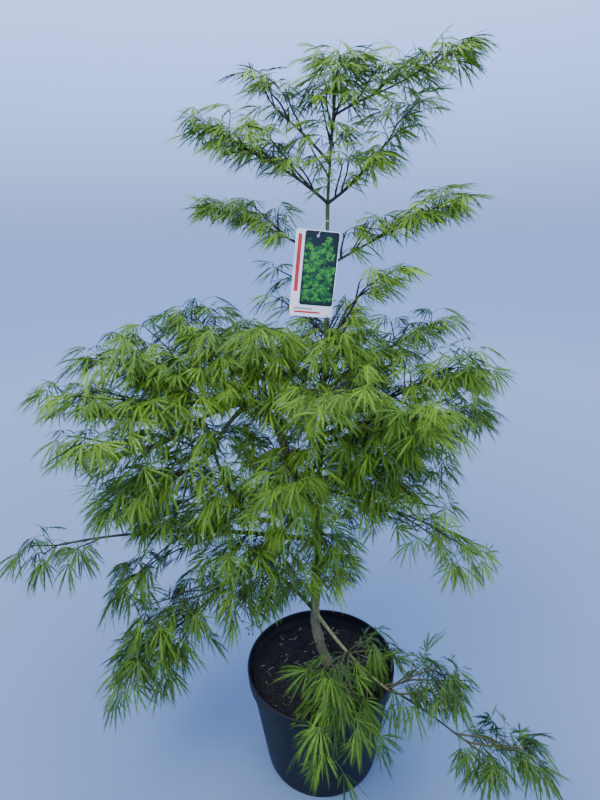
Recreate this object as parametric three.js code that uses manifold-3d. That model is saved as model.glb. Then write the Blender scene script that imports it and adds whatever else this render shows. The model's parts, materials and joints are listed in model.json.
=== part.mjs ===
// A laceleaf Japanese maple, 1.37 m tall, growing in a round nursery pot.
//
// Millimetres, +Z up. The origin is the middle of the pot's flat underside.
// +X is the plant's right, -X its left, -Y its front and +Y its back.

import * as THREE from 'three';
import { mergeVertices } from 'three/addons/utils/BufferGeometryUtils.js';
import Module from 'manifold-3d';

const wasm = await Module();
wasm.setup();

// ---- Driving dimensions -------------------------------------------------------------

const CLEARANCE = 0.3;

// Pot: a tapered tub with a deep rim band and drain holes round its foot
const POT_HEIGHT = 235;
const POT_RIM_RADIUS = 151;
const POT_SHOULDER_RADIUS = 144;
const POT_FOOT_RADIUS = 117;
const POT_RIM_BAND = 30;
const POT_WALL = 3;
const POT_LIP = 4;
const POT_FOOT_CHAMFER = 4;
const DRAIN_HOLES = 6;
const DRAIN_RADIUS = 7;
const DRAIN_RING = 92;

// Compost: level with the trunk's foot, a little uneven elsewhere
const SOIL_HEIGHT = 210;
const SOIL_UNEVENNESS = 2.2;
const SOIL_LUMPS_ACROSS = 107;
const SOIL_LUMPS_ALONG = 145;
const SOIL_LEVEL_ROUND_TRUNK = 30;
const SOIL_SLACK = 1;
const SOIL_EDGE_DIP = 2;

// Trunk: from its flat cut on the compost, past the leader's fork, to the head
// where the old boughs part. Each bend is [right, back, up] from the pot's middle.
const TRUNK_BENDS = [
  [18, 19, SOIL_HEIGHT - 15], [-8, 25, 286], [-9, 40, 400], [-4, 50, 523],
  [-27, 45, 594], [-55, 38, 666], [-72, 31, 734], [-98, 25, 775], [-122, 20, 790],
];
const TRUNK_RADIUS = 10;
const TRUNK_TIP_RADIUS = 7;
const ROOT_FLARE = 6;
const ROOT_FLARE_HEIGHT = 45;

// Leader: the younger stem that runs on straight up from the trunk
const LEADER_BENDS = [
  [-4, 50, 523], [2, 62, 640], [12, 67, 800], [20, 68, 1000], [22, 68, 1130], [35, 66, 1285],
];
const LEADER_RADIUS = 5.5;
const LEADER_TIP_RADIUS = 2;

// Hang tag: a card that leans on the front of the leader, turned and a little askew
const TAG_WIDTH = 76;
const TAG_HEIGHT = 146;
const TAG_THICKNESS = 1;
const TAG_TOP = 1081;
const TAG_LEFT_OF_STEM = 15;
const TAG_TURN = THREE.MathUtils.degToRad(11);
const TAG_SKEW = THREE.MathUtils.degToRad(-7);
const TAG_HOLE_RADIUS = 3;
const TAG_HOLE_BELOW_TOP = 9;
const TAG_ON_LEADER = 0.66;

// Facets
const POT_SIDES = 28;
const DRAIN_SIDES = 8;
const SOIL_RINGS = 3;
const TAG_HOLE_SIDES = 4;
const TRUNK_SIDES = 9;
const TRUNK_STEPS = 11;
const LEADER_SIDES = 7;
const LEADER_STEPS = 9;
const BOUGH_SIDES = 6;
const BOUGH_STEPS = 4;
const PAD_SIDES = 8;
const PAD_STEPS = 7;

// The shares of its length where a bough's or a pad's curve is steered.
const STEER_EARLY = 0.35;
const STEER_LATE = 0.7;

// Boughs: each leaves its parent a fraction (at) of the way along, ends at tip and
// arches above the straight line between, with its radius at each end.
const BOUGHS = [
  { name: 'top_left_bough', from: 'leader', at: 0.79, tip: [-72, 36, 1190], arch: 6, radius: [2.6, 1.6] },
  { name: 'top_left_upper_bough', from: 'leader', at: 0.87, tip: [-50, 88, 1262],
    arch: 4, radius: [2.4, 1.5] },
  { name: 'top_right_bough', from: 'leader', at: 0.96, tip: [93, 56, 1279], arch: 2, radius: [2, 1.5] },
  { name: 'top_right_low_bough', from: 'leader', at: 0.79, tip: [104, 104, 1198],
    arch: -8, radius: [2.6, 1.6] },
  { name: 'mid_left_bough', from: 'leader', at: 0.66, tip: [-75, 100, 1084], arch: 4, radius: [2.6, 1.6] },
  { name: 'mid_right_bough', from: 'leader', at: 0.655, tip: [120, 88, 1072], arch: 2, radius: [2.6, 1.6] },
  { name: 'low_mid_right_bough', from: 'leader', at: 0.47, tip: [69, 20, 971],
    arch: -6, radius: [2.8, 1.8] },
  { name: 'right_upper_bough', from: 'leader', at: 0.36, tip: [142, 110, 872], arch: 4, radius: [3.2, 2] },
  { name: 'right_long_bough', from: 'leader', at: 0.27, tip: [160, 52, 802], arch: -2, radius: [3.6, 2.2] },
  { name: 'right_front_bough', from: 'leader', at: 0.24, tip: [109, 0, 765], arch: 10, radius: [3.6, 2.2] },
  { name: 'right_back_bough', from: 'leader', at: 0.22, tip: [150, 125, 688],
    arch: 12, radius: [3.6, 2.2] },
  { name: 'right_low_bough', from: 'leader', at: 0.1, tip: [118, 20, 586], arch: 4, radius: [3.8, 2.2] },
  { name: 'left_long_bough', from: 'trunk', at: 1, tip: [-262, 0, 798], arch: 0, radius: [5, 3] },
  { name: 'left_front_bough', from: 'trunk', at: 1, tip: [-240, -50, 754], arch: 14, radius: [4.4, 2.6] },
  { name: 'left_drop_bough', from: 'trunk', at: 1, tip: [-186, -20, 715], arch: 12, radius: [4.6, 3] },
  { name: 'low_left_bough', from: 'trunk', at: 0.47, tip: [-440, -75, 556], arch: 30, radius: [5.2, 1.8] },
  { name: 'hanging_left_bough', from: 'low_left_bough', at: 0.14, tip: [-224, -60, 406],
    arch: 12, radius: [3.8, 2.4] },
  { name: 'inner_left_bough', from: 'trunk', at: 0.22, tip: [-113, -20, 478],
    arch: 16, radius: [4.4, 2.6] },
  { name: 'front_low_bough', from: 'trunk', at: 0.22, tip: [130, -110, 278],
    arch: -22, radius: [3.8, 2.2] },
  { name: 'front_trailing_bough', from: 'front_low_bough', at: 0.9, tip: [243, -160, 238],
    arch: 8, radius: [2, 1.6] },
];

// Foliage: each pad of leaves grows on from the end of a bough, or from a fraction
// (at) of the way along it, to its own tip. The depth is what hangs under the shoots.
const PADS = [
  { name: 'top_tip_foliage', on: 'leader', tip: [62, 42, 1364], width: 84, depth: 50 },
  { name: 'top_left_foliage', on: 'top_left_bough', tip: [-218, -10, 1250], width: 124, depth: 40 },
  { name: 'top_left_upper_foliage', on: 'top_left_upper_bough', tip: [-120, 114, 1354],
    width: 116, depth: 48 },
  { name: 'top_right_foliage', on: 'top_right_bough', tip: [264, 14, 1334], width: 112, depth: 38 },
  { name: 'top_right_low_foliage', on: 'top_right_low_bough', tip: [206, 142, 1308],
    width: 126, depth: 44 },
  { name: 'mid_left_foliage', on: 'mid_left_bough', tip: [-260, 140, 1127], width: 96, depth: 34 },
  { name: 'mid_right_foliage', on: 'mid_right_bough', tip: [294, 45, 1133], width: 100, depth: 36 },
  { name: 'low_mid_left_foliage', on: 'leader', at: 0.58, tip: [-120, 118, 1022], width: 54, depth: 30 },
  { name: 'low_mid_right_foliage', on: 'low_mid_right_bough', tip: [168, -40, 1025], width: 96, depth: 38 },
  { name: 'crown_left_foliage', on: 'trunk', at: 0.86, tip: [-100, -10, 950], width: 150, depth: 44 },
  { name: 'crown_back_foliage', on: 'leader', at: 0.4, tip: [0, 276, 872], width: 190, depth: 40 },
  { name: 'crown_front_foliage', on: 'leader', at: 0.33, tip: [44, -200, 846], width: 150, depth: 40 },
  { name: 'right_upper_foliage', on: 'right_upper_bough', tip: [284, 150, 918], width: 116, depth: 38 },
  { name: 'right_long_foliage', on: 'right_long_bough', tip: [332, 10, 888], width: 126, depth: 38 },
  { name: 'right_front_foliage', on: 'right_front_bough', tip: [248, -96, 772], width: 134, depth: 38 },
  { name: 'right_back_foliage', on: 'right_back_bough', tip: [358, 200, 716], width: 136, depth: 38 },
  { name: 'right_middle_foliage', on: 'leader', at: 0.13, tip: [220, 70, 618], width: 120, depth: 36 },
  { name: 'right_low_foliage', on: 'right_low_bough', tip: [324, -60, 468], width: 96, depth: 38 },
  { name: 'right_inner_foliage', on: 'trunk', at: 0.42, tip: [66, -12, 446], width: 70, depth: 36 },
  { name: 'left_long_foliage', on: 'left_long_bough', tip: [-482, -90, 834], width: 136, depth: 40 },
  { name: 'left_rising_foliage', on: 'left_long_bough', at: 0.9, tip: [-366, 22, 944],
    width: 116, depth: 42 },
  { name: 'left_back_foliage', on: 'trunk', at: 0.97, tip: [-284, 150, 960], width: 130, depth: 42 },
  { name: 'left_front_foliage', on: 'left_front_bough', tip: [-388, -176, 748], width: 136, depth: 40 },
  { name: 'left_drop_foliage', on: 'left_drop_bough', tip: [-366, -110, 660], width: 136, depth: 42 },
  { name: 'low_left_foliage', on: 'low_left_bough', tip: [-576, -100, 516], width: 88, depth: 34 },
  { name: 'low_left_inner_foliage', on: 'low_left_bough', at: 0.3, tip: [-196, -130, 514],
    width: 120, depth: 40 },
  { name: 'left_weeping_foliage', on: 'low_left_bough', at: 0.6, tip: [-430, -30, 362],
    width: 104, depth: 38 },
  { name: 'hanging_left_foliage', on: 'hanging_left_bough', tip: [-346, -112, 240], width: 130, depth: 46 },
  { name: 'inner_left_foliage', on: 'inner_left_bough', tip: [-160, -76, 400], width: 90, depth: 40 },
  { name: 'middle_front_foliage', on: 'trunk', at: 0.62, tip: [-60, -190, 700], width: 160, depth: 40 },
  { name: 'middle_back_foliage', on: 'trunk', at: 0.5, tip: [20, 272, 560], width: 180, depth: 38 },
  { name: 'front_low_foliage', on: 'front_low_bough', tip: [294, -140, 306], width: 90, depth: 36 },
  { name: 'front_trailing_foliage', on: 'front_trailing_bough', tip: [404, -212, 230],
    width: 96, depth: 40 },
  { name: 'front_hanging_foliage', on: 'front_low_bough', at: 0.5, tip: [24, -236, 140],
    arch: 130, width: 92, depth: 38 },
  { name: 'front_right_foliage', on: 'front_low_bough', at: 0.5, tip: [182, -20, 260],
    width: 84, depth: 34 },
];

// A pad's neck radius, how far it swallows its bough's end, and, as shares of its
// size: how far it hangs, how its edges droop, how its middle rises, where it is
// widest and how blunt it ends.
const PAD_NECK = 4.5;
const PAD_SOCKET = 5;
const PAD_HANG = 0.25;
const PAD_DROOP = 0.22;
const PAD_ARCH = 0.1;
const PAD_WIDEST = 0.75;
const PAD_BLUNTNESS = 0.12;

// Leaves make an uneven edge: waves round a pad, along it and askew over it.
const WAVES_ROUND = 0.18;
const WAVES_ALONG = 0.16;
const WAVES_ASKEW = 0.14;

// ---- Materials ----------------------------------------------------------------------

const POT_PLASTIC = { color: 0x1d1f22, roughness: 0.42, metalness: 0 };
const COMPOST = { color: 0x2b211a, roughness: 0.97, metalness: 0 };
const OLD_BARK = { color: 0x6b6a4c, roughness: 0.85, metalness: 0 };
const YOUNG_BARK = { color: 0x4e5430, roughness: 0.75, metalness: 0 };
const LEAVES = { color: 0x67a02f, roughness: 0.6, metalness: 0 };
const CARD = { color: 0xf3f2ee, roughness: 0.35, metalness: 0 };

const plant = new THREE.Group();

function addPiece(name, geometry, finish) {
  const piece = new THREE.Mesh(geometry, new THREE.MeshStandardMaterial(finish));
  piece.name = name;
  plant.add(piece);
  return piece;
}

// ---- Solids -------------------------------------------------------------------------

function toSolid(geometry) {
  const bare = geometry.clone();
  bare.deleteAttribute('normal');
  bare.deleteAttribute('uv');
  const merged = mergeVertices(bare, 1e-4);
  const vertProperties = new Float32Array(merged.attributes.position.array);
  const triVerts = new Uint32Array(merged.index.array);
  return new wasm.Manifold(new wasm.Mesh({ numProp: 3, vertProperties, triVerts }));
}

function toGeometry(solid) {
  const mesh = solid.getMesh();
  const geometry = new THREE.BufferGeometry();
  geometry.setAttribute('position', new THREE.BufferAttribute(mesh.vertProperties, 3));
  geometry.setIndex(new THREE.BufferAttribute(mesh.triVerts, 1));
  geometry.computeVertexNormals();
  return geometry;
}

// Skins a row of rings, each the same number of points, and closes both ends.
function loft(rings) {
  const count = rings[0].length;
  const points = rings.flat();
  const faces = [];
  for (let i = 0; i < rings.length - 1; i++) {
    for (let j = 0; j < count; j++) {
      const a = i * count + j;
      const b = i * count + (j + 1) % count;
      faces.push(a, b, b + count, a, b + count, a + count);
    }
  }
  const closeEnd = (ring, first, facesBack) => {
    const middle = ring.reduce((sum, p) => sum.add(p), new THREE.Vector3()).divideScalar(count);
    points.push(middle);
    for (let j = 0; j < count; j++) {
      const a = first + j;
      const b = first + (j + 1) % count;
      faces.push(points.length - 1, facesBack ? b : a, facesBack ? a : b);
    }
  };
  closeEnd(rings[0], 0, true);
  closeEnd(rings[rings.length - 1], (rings.length - 1) * count, false);
  const geometry = new THREE.BufferGeometry().setFromPoints(points);
  geometry.setIndex(faces);
  geometry.computeVertexNormals();
  return geometry;
}

// A round limb along a curve: radiusAt gives the radius a fraction of the way along.
function limbGeometry(curve, steps, sides, radiusAt) {
  const frames = curve.computeFrenetFrames(steps, false);
  const rings = [];
  for (let i = 0; i <= steps; i++) {
    const centre = curve.getPointAt(i / steps);
    const radius = radiusAt(i / steps);
    rings.push(ringOf(sides, (turn) => centre.clone()
      .addScaledVector(frames.normals[i], radius * Math.cos(turn))
      .addScaledVector(frames.binormals[i], radius * Math.sin(turn))));
  }
  return loft(rings);
}

function ringOf(sides, pointAt) {
  return Array.from({ length: sides }, (_, j) => pointAt(2 * Math.PI * j / sides));
}

// ---- Stems and boughs ---------------------------------------------------------------

// Every limb by name: its curve, its radius along it, its solid, and the same solid
// thickened by the clearance, which is what its neighbours are cut by.
const limbs = {};
const taper = (from, to) => (s) => THREE.MathUtils.lerp(from, to, s);

function growLimb(name, curve, steps, sides, radiusAt, neighbours) {
  const thick = (s) => radiusAt(s) + CLEARANCE;
  let solid = toSolid(limbGeometry(curve, steps, sides, radiusAt));
  for (const neighbour of neighbours) {
    solid = solid.subtract(limbs[neighbour].sleeve);
  }
  solid = biggestBody(solid);
  limbs[name] = { curve, radiusAt, solid, sleeve: toSolid(limbGeometry(curve, steps, sides, thick)) };
}

function trunkRadius(s) {
  const height = s * trunkCurve.getLength();
  const flare = ROOT_FLARE * Math.exp(-3 * height / ROOT_FLARE_HEIGHT);
  return taper(TRUNK_RADIUS, TRUNK_TIP_RADIUS)(s) + flare;
}

// What the trunk is cut flat by: a block whose top is the compost's level.
function groundBlock() {
  const side = 10 * TRUNK_RADIUS;
  return new THREE.BoxGeometry(side, side, side).translate(...TRUNK_BENDS[0])
    .translate(0, 0, SOIL_HEIGHT + CLEARANCE - TRUNK_BENDS[0][2] - side / 2);
}

const throughBends = (bends) => new THREE.CatmullRomCurve3(bends.map((p) => new THREE.Vector3(...p)));
const trunkCurve = throughBends(TRUNK_BENDS);
const leaderCurve = throughBends(LEADER_BENDS);

function boughCurve({ from, at, tip, arch }) {
  const start = limbs[from].curve.getPointAt(at);
  const end = new THREE.Vector3(...tip);
  const lift = new THREE.Vector3(0, 0, arch);
  return new THREE.CubicBezierCurve3(start, start.clone().lerp(end, STEER_EARLY).add(lift),
    start.clone().lerp(end, STEER_LATE).add(lift), end);
}

// ---- Foliage ------------------------------------------------------------------------

// Each seed sets the waves off at another place, so no two pads are the same shape.
function unevenness(seed, s, turn) {
  return 1 + WAVES_ROUND * Math.sin(2 * turn + 1.7 * seed + 4 * s)
    + WAVES_ALONG * Math.sin(11 * s + 2.3 * seed)
    + WAVES_ASKEW * Math.sin(3 * turn - 8 * s + 0.9 * seed);
}

function padCurve({ on, at = 1, tip, arch }) {
  const bough = limbs[on];
  const end = new THREE.Vector3(...tip);
  const start = bough.curve.getPointAt(at);
  const reach = start.distanceTo(end);
  const heading = end.clone().sub(start).normalize();
  if (at === 1) {
    heading.copy(bough.curve.getTangentAt(1));
    start.addScaledVector(heading, -PAD_SOCKET);
  } else {
    start.addScaledVector(heading, bough.radiusAt(at) + CLEARANCE);
  }
  const lift = new THREE.Vector3(0, 0, arch ?? reach * PAD_ARCH);
  const leaving = start.clone().addScaledVector(heading, STEER_EARLY * reach);
  return new THREE.CubicBezierCurve3(start, at === 1 ? leaving : leaving.add(lift),
    start.clone().lerp(end, STEER_LATE).add(lift), end);
}

function padGeometry(curve, { width, depth }, seed, grow) {
  const ends = curve.getPointAt(1).sub(curve.getPointAt(0));
  const side = new THREE.Vector3(-ends.y, ends.x, 0).normalize();
  const rings = [];
  for (let i = 0; i <= PAD_STEPS; i++) {
    const s = i / PAD_STEPS;
    const centre = curve.getPointAt(s);
    const up = curve.getTangentAt(s).cross(side).normalize();
    const round = Math.max(0, Math.sin(Math.PI * Math.pow(s, PAD_WIDEST)));
    const swell = Math.sqrt(round) + PAD_BLUNTNESS * s;
    rings.push(ringOf(PAD_SIDES, (turn) => {
      const uneven = unevenness(seed, s, turn);
      const across = Math.cos(turn) * (PAD_NECK + grow + 0.5 * width * swell * uneven);
      const above = Math.sin(turn) * (PAD_NECK + grow + 0.5 * depth * swell * uneven);
      const droop = swell * (PAD_HANG * depth + PAD_DROOP * Math.abs(Math.cos(turn)) * 0.5 * width);
      return centre.clone().addScaledVector(side, across).addScaledVector(up, above)
        .add(new THREE.Vector3(0, 0, -droop));
    }));
  }
  return loft(rings);
}

// A cut may leave crumbs of a pad behind the stem that cuts it: the pad is the big one.
function biggestBody(solid) {
  return solid.decompose().sort((a, b) => b.volume() - a.volume())[0];
}

// ---- Pot, compost and tag -----------------------------------------------------------

function potGeometry() {
  const bandFoot = POT_HEIGHT - POT_RIM_BAND;
  return turned([
    [0, 0], [POT_FOOT_RADIUS - POT_FOOT_CHAMFER, 0], [POT_FOOT_RADIUS, POT_FOOT_CHAMFER],
    [POT_SHOULDER_RADIUS, bandFoot], [POT_RIM_RADIUS - POT_LIP / 2, bandFoot + POT_LIP / 2],
    [POT_RIM_RADIUS - POT_LIP / 4, POT_HEIGHT - POT_LIP], [POT_RIM_RADIUS, POT_HEIGHT - POT_LIP / 2],
    [POT_RIM_RADIUS - POT_LIP / 4, POT_HEIGHT], [POT_RIM_RADIUS - POT_LIP, POT_HEIGHT],
    [potInnerRadius(bandFoot), bandFoot], [potInnerRadius(POT_WALL), POT_WALL], [0, POT_WALL],
  ], POT_SIDES);
}

// A profile of [radius, height] points turned round the pot's axis.
function turned(profile, sides) {
  const points = profile.map((p) => new THREE.Vector2(...p));
  return new THREE.LatheGeometry(points, sides).rotateX(Math.PI / 2);
}

function potInnerRadius(height) {
  const rise = height / (POT_HEIGHT - POT_RIM_BAND);
  return THREE.MathUtils.lerp(POT_FOOT_RADIUS, POT_SHOULDER_RADIUS, rise) - POT_WALL;
}

function potSolid() {
  let pot = toSolid(potGeometry());
  for (let i = 0; i < DRAIN_HOLES; i++) {
    const turn = 2 * Math.PI * (i + 0.5) / DRAIN_HOLES;
    const hole = new THREE.CylinderGeometry(DRAIN_RADIUS, DRAIN_RADIUS, 4 * POT_WALL, DRAIN_SIDES);
    hole.rotateX(Math.PI / 2).translate(DRAIN_RING * Math.cos(turn), DRAIN_RING * Math.sin(turn), 0);
    pot = pot.subtract(toSolid(hole));
  }
  return pot;
}

function soilGeometry() {
  const edge = potInnerRadius(SOIL_HEIGHT) - SOIL_SLACK;
  const foot = potInnerRadius(POT_WALL) - SOIL_SLACK;
  const bottom = POT_WALL + CLEARANCE;
  const profile = [[0, bottom], [foot, bottom], [edge, SOIL_HEIGHT - SOIL_EDGE_DIP]];
  for (let ring = SOIL_RINGS - 1; ring >= 0; ring--) {
    profile.push([edge * ring / SOIL_RINGS, SOIL_HEIGHT]);
  }
  const geometry = turned(profile, POT_SIDES);
  const place = geometry.attributes.position;
  const [trunkX, trunkY] = TRUNK_BENDS[0];
  for (let i = 0; i < place.count; i++) {
    const [x, y, z] = [place.getX(i), place.getY(i), place.getZ(i)];
    const away = Math.hypot(x - trunkX, y - trunkY) / SOIL_LEVEL_ROUND_TRUNK - 1;
    const across = Math.sin(2 * Math.PI * x / SOIL_LUMPS_ACROSS);
    const along = Math.cos(2 * Math.PI * y / SOIL_LUMPS_ALONG);
    if (z > POT_HEIGHT / 2) {
      const dip = SOIL_UNEVENNESS * (1 - across * along) / 2;
      place.setZ(i, z - dip * THREE.MathUtils.clamp(away, 0, 1));
    }
  }
  return geometry;
}

function tagGeometry() {
  const card = new THREE.Shape();
  const left = -TAG_WIDTH / 2 - TAG_LEFT_OF_STEM;
  const right = left + TAG_WIDTH;
  card.moveTo(left, -TAG_HEIGHT).lineTo(right, -TAG_HEIGHT).lineTo(right, 0).lineTo(left, 0);
  const middle = (left + right) / 2;
  card.holes.push(new THREE.Path()
    .absarc(middle, -TAG_HOLE_BELOW_TOP, TAG_HOLE_RADIUS, 0, 2 * Math.PI, true));
  return new THREE.ExtrudeGeometry(card, {
    depth: TAG_THICKNESS, bevelEnabled: false, curveSegments: TAG_HOLE_SIDES,
  });
}

function tagSleeve() {
  const sizes = [TAG_WIDTH, TAG_HEIGHT, TAG_THICKNESS].map((size) => size + 2 * CLEARANCE);
  return new THREE.BoxGeometry(...sizes)
    .translate(-TAG_LEFT_OF_STEM, -TAG_HEIGHT / 2, TAG_THICKNESS / 2);
}

// ---- Assembly -----------------------------------------------------------------------

addPiece('pot', toGeometry(potSolid()), POT_PLASTIC);
addPiece('potting_compost', soilGeometry(), COMPOST);

growLimb('trunk', trunkCurve, TRUNK_STEPS, TRUNK_SIDES, trunkRadius, []);
limbs.trunk.solid = limbs.trunk.solid.subtract(toSolid(groundBlock()));
const leaderTaper = taper(LEADER_RADIUS, LEADER_TIP_RADIUS);
growLimb('leader', leaderCurve, LEADER_STEPS, LEADER_SIDES, leaderTaper, ['trunk']);
for (const bough of BOUGHS) {
  const older = Object.keys(limbs);
  growLimb(bough.name, boughCurve(bough), BOUGH_STEPS, BOUGH_SIDES, taper(...bough.radius), older);
}
for (const [name, limb] of Object.entries(limbs)) {
  addPiece(name, toGeometry(limb.solid), name === 'trunk' ? OLD_BARK : YOUNG_BARK);
}

const tag = addPiece('hang_tag', tagGeometry(), CARD);
const tagSeat = limbs.leader.radiusAt(TAG_ON_LEADER) + 2 * CLEARANCE;
tag.rotation.set(Math.PI / 2, TAG_TURN, TAG_SKEW);
tag.position.copy(leaderCurve.getPointAt(TAG_ON_LEADER)).setZ(TAG_TOP)
  .add(new THREE.Vector3(Math.sin(TAG_TURN), -Math.cos(TAG_TURN), 0).multiplyScalar(tagSeat));
tag.updateMatrix();

const cutters = Object.values(limbs).map((limb) => limb.sleeve);
cutters.push(toSolid(tagSleeve().applyMatrix4(tag.matrix)));
PADS.forEach((pad, seed) => {
  const curve = padCurve(pad);
  let solid = toSolid(padGeometry(curve, pad, seed, 0));
  for (const cutter of cutters) {
    solid = solid.subtract(cutter);
  }
  cutters.push(toSolid(padGeometry(curve, pad, seed, CLEARANCE)));
  addPiece(pad.name, toGeometry(biggestBody(solid)), LEAVES);
});

export default plant;
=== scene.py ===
"""A young laceleaf Japanese maple in a round nursery pot, with its bark, shoots, leaves and tag.

Sizes in the tables are millimetres, as a grower would measure them, and everything built
from them is in metres. +Z is up and -Y is the plant's front.
"""

from __future__ import annotations

import json
import logging
import math
from dataclasses import dataclass, field
from enum import Enum, IntEnum
from typing import Callable, Iterable

import bpy
import numpy as np
from mathutils import Matrix, Vector

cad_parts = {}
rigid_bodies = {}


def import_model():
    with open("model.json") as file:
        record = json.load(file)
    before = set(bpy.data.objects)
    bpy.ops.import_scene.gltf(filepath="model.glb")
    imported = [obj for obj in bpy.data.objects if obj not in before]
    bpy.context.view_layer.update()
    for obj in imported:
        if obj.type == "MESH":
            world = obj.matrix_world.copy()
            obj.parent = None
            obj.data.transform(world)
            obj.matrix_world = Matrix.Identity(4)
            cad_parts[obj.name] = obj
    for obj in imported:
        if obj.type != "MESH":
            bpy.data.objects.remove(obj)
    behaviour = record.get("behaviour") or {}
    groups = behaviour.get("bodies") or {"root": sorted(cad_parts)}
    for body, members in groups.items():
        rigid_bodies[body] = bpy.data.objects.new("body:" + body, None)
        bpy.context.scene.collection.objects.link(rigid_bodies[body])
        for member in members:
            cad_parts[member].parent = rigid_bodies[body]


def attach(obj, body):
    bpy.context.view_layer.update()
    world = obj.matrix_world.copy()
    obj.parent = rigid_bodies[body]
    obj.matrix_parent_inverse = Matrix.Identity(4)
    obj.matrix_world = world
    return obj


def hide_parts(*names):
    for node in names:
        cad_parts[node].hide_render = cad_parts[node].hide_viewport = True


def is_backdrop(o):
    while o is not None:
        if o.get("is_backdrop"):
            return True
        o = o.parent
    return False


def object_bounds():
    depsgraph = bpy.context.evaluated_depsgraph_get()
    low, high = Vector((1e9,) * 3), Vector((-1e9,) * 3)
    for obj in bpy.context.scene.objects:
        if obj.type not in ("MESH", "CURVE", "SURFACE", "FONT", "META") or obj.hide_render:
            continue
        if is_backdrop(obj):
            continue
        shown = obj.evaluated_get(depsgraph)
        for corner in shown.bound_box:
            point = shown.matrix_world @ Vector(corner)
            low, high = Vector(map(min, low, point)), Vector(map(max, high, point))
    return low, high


MM = 0.001
SEED = 2207
UP = np.array([0.0, 0.0, 1.0])
DOWN = -UP
LEVEL = np.array([1, 1, 0])
BOTH_SIDES = (-1.0, 1.0)
ROOT = "root"

log = logging.getLogger("maple")

Colour = tuple[float, float, float]
Point = tuple[float, float, float]
Pair = tuple[float, float]
Pairs = tuple[Pair, ...]
Outline = list[Pair]
Edges = tuple[float, float, float, float]
Array = np.ndarray
Socket = bpy.types.NodeSocket
Material = bpy.types.Material
Piece = bpy.types.Object


# ---- Small helpers ----


class Draw(IntEnum):
    """Where the random numbers of each part start, so that no part changes another's."""

    BUD_RINGS = 5
    COMPOST = 11
    CRUMBS = 21
    FIBRES = 22
    FRONDS = 31
    BUDS = 41
    LIMBS = 100
    LEAVES = 500
    SPRAYS = 1000
    SPRIGS = 3000


def chance(*numbers: int) -> np.random.Generator:
    """Random numbers that start from the plant's seed and the given numbers."""
    return np.random.default_rng([SEED, *(int(number) for number in numbers)])


def unit(rows: Array) -> Array:
    """Vectors along the last axis, brought to length one."""
    size = np.linalg.norm(rows, axis=-1, keepdims=True)
    return rows / np.maximum(size, 1e-9)


def square_to(rows: Array, axis: Array) -> Array:
    """The part of each vector square to its unit axis, brought to length one."""
    along = np.sum(rows * axis, axis=-1, keepdims=True)
    return unit(rows - along * axis)


def full_turn(count: int) -> Array:
    """Evenly spread angles once round, in radians."""
    return np.linspace(0, 2 * np.pi, count, endpoint=False)


def bearing(turn: float) -> Array:
    """The level unit vector at an angle from +X, in radians."""
    return np.array([math.cos(turn), math.sin(turn), 0.0])


def spokes(across: Array, over: Array, turn: Array) -> Array:
    """Unit vectors at angles round each point of a line, from two axes square to it."""
    return across[:, None] * np.cos(turn)[:, None] + over[:, None] * np.sin(turn)[:, None]


def waves(places: Array, length: float, seed: int) -> Array:
    """A smooth, seeded unevenness over space, from about -1 to 1.

    Args:
        places: Points in metres, shaped (n, 3).
        length: The size of one lump in metres.
        seed: Which unevenness it is.

    Returns:
        One value for each point.
    """
    count = 7
    rng = chance(seed)
    ways = unit(rng.normal(size=(count, 3)))
    pace = 2 * np.pi / length * rng.uniform(0.6, 1.6, count)
    phase = rng.uniform(0, 2 * np.pi, count)
    return np.sin(places @ (ways * pace[:, None]).T + phase).sum(1) / math.sqrt(count)


# ---- Lines ----


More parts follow.
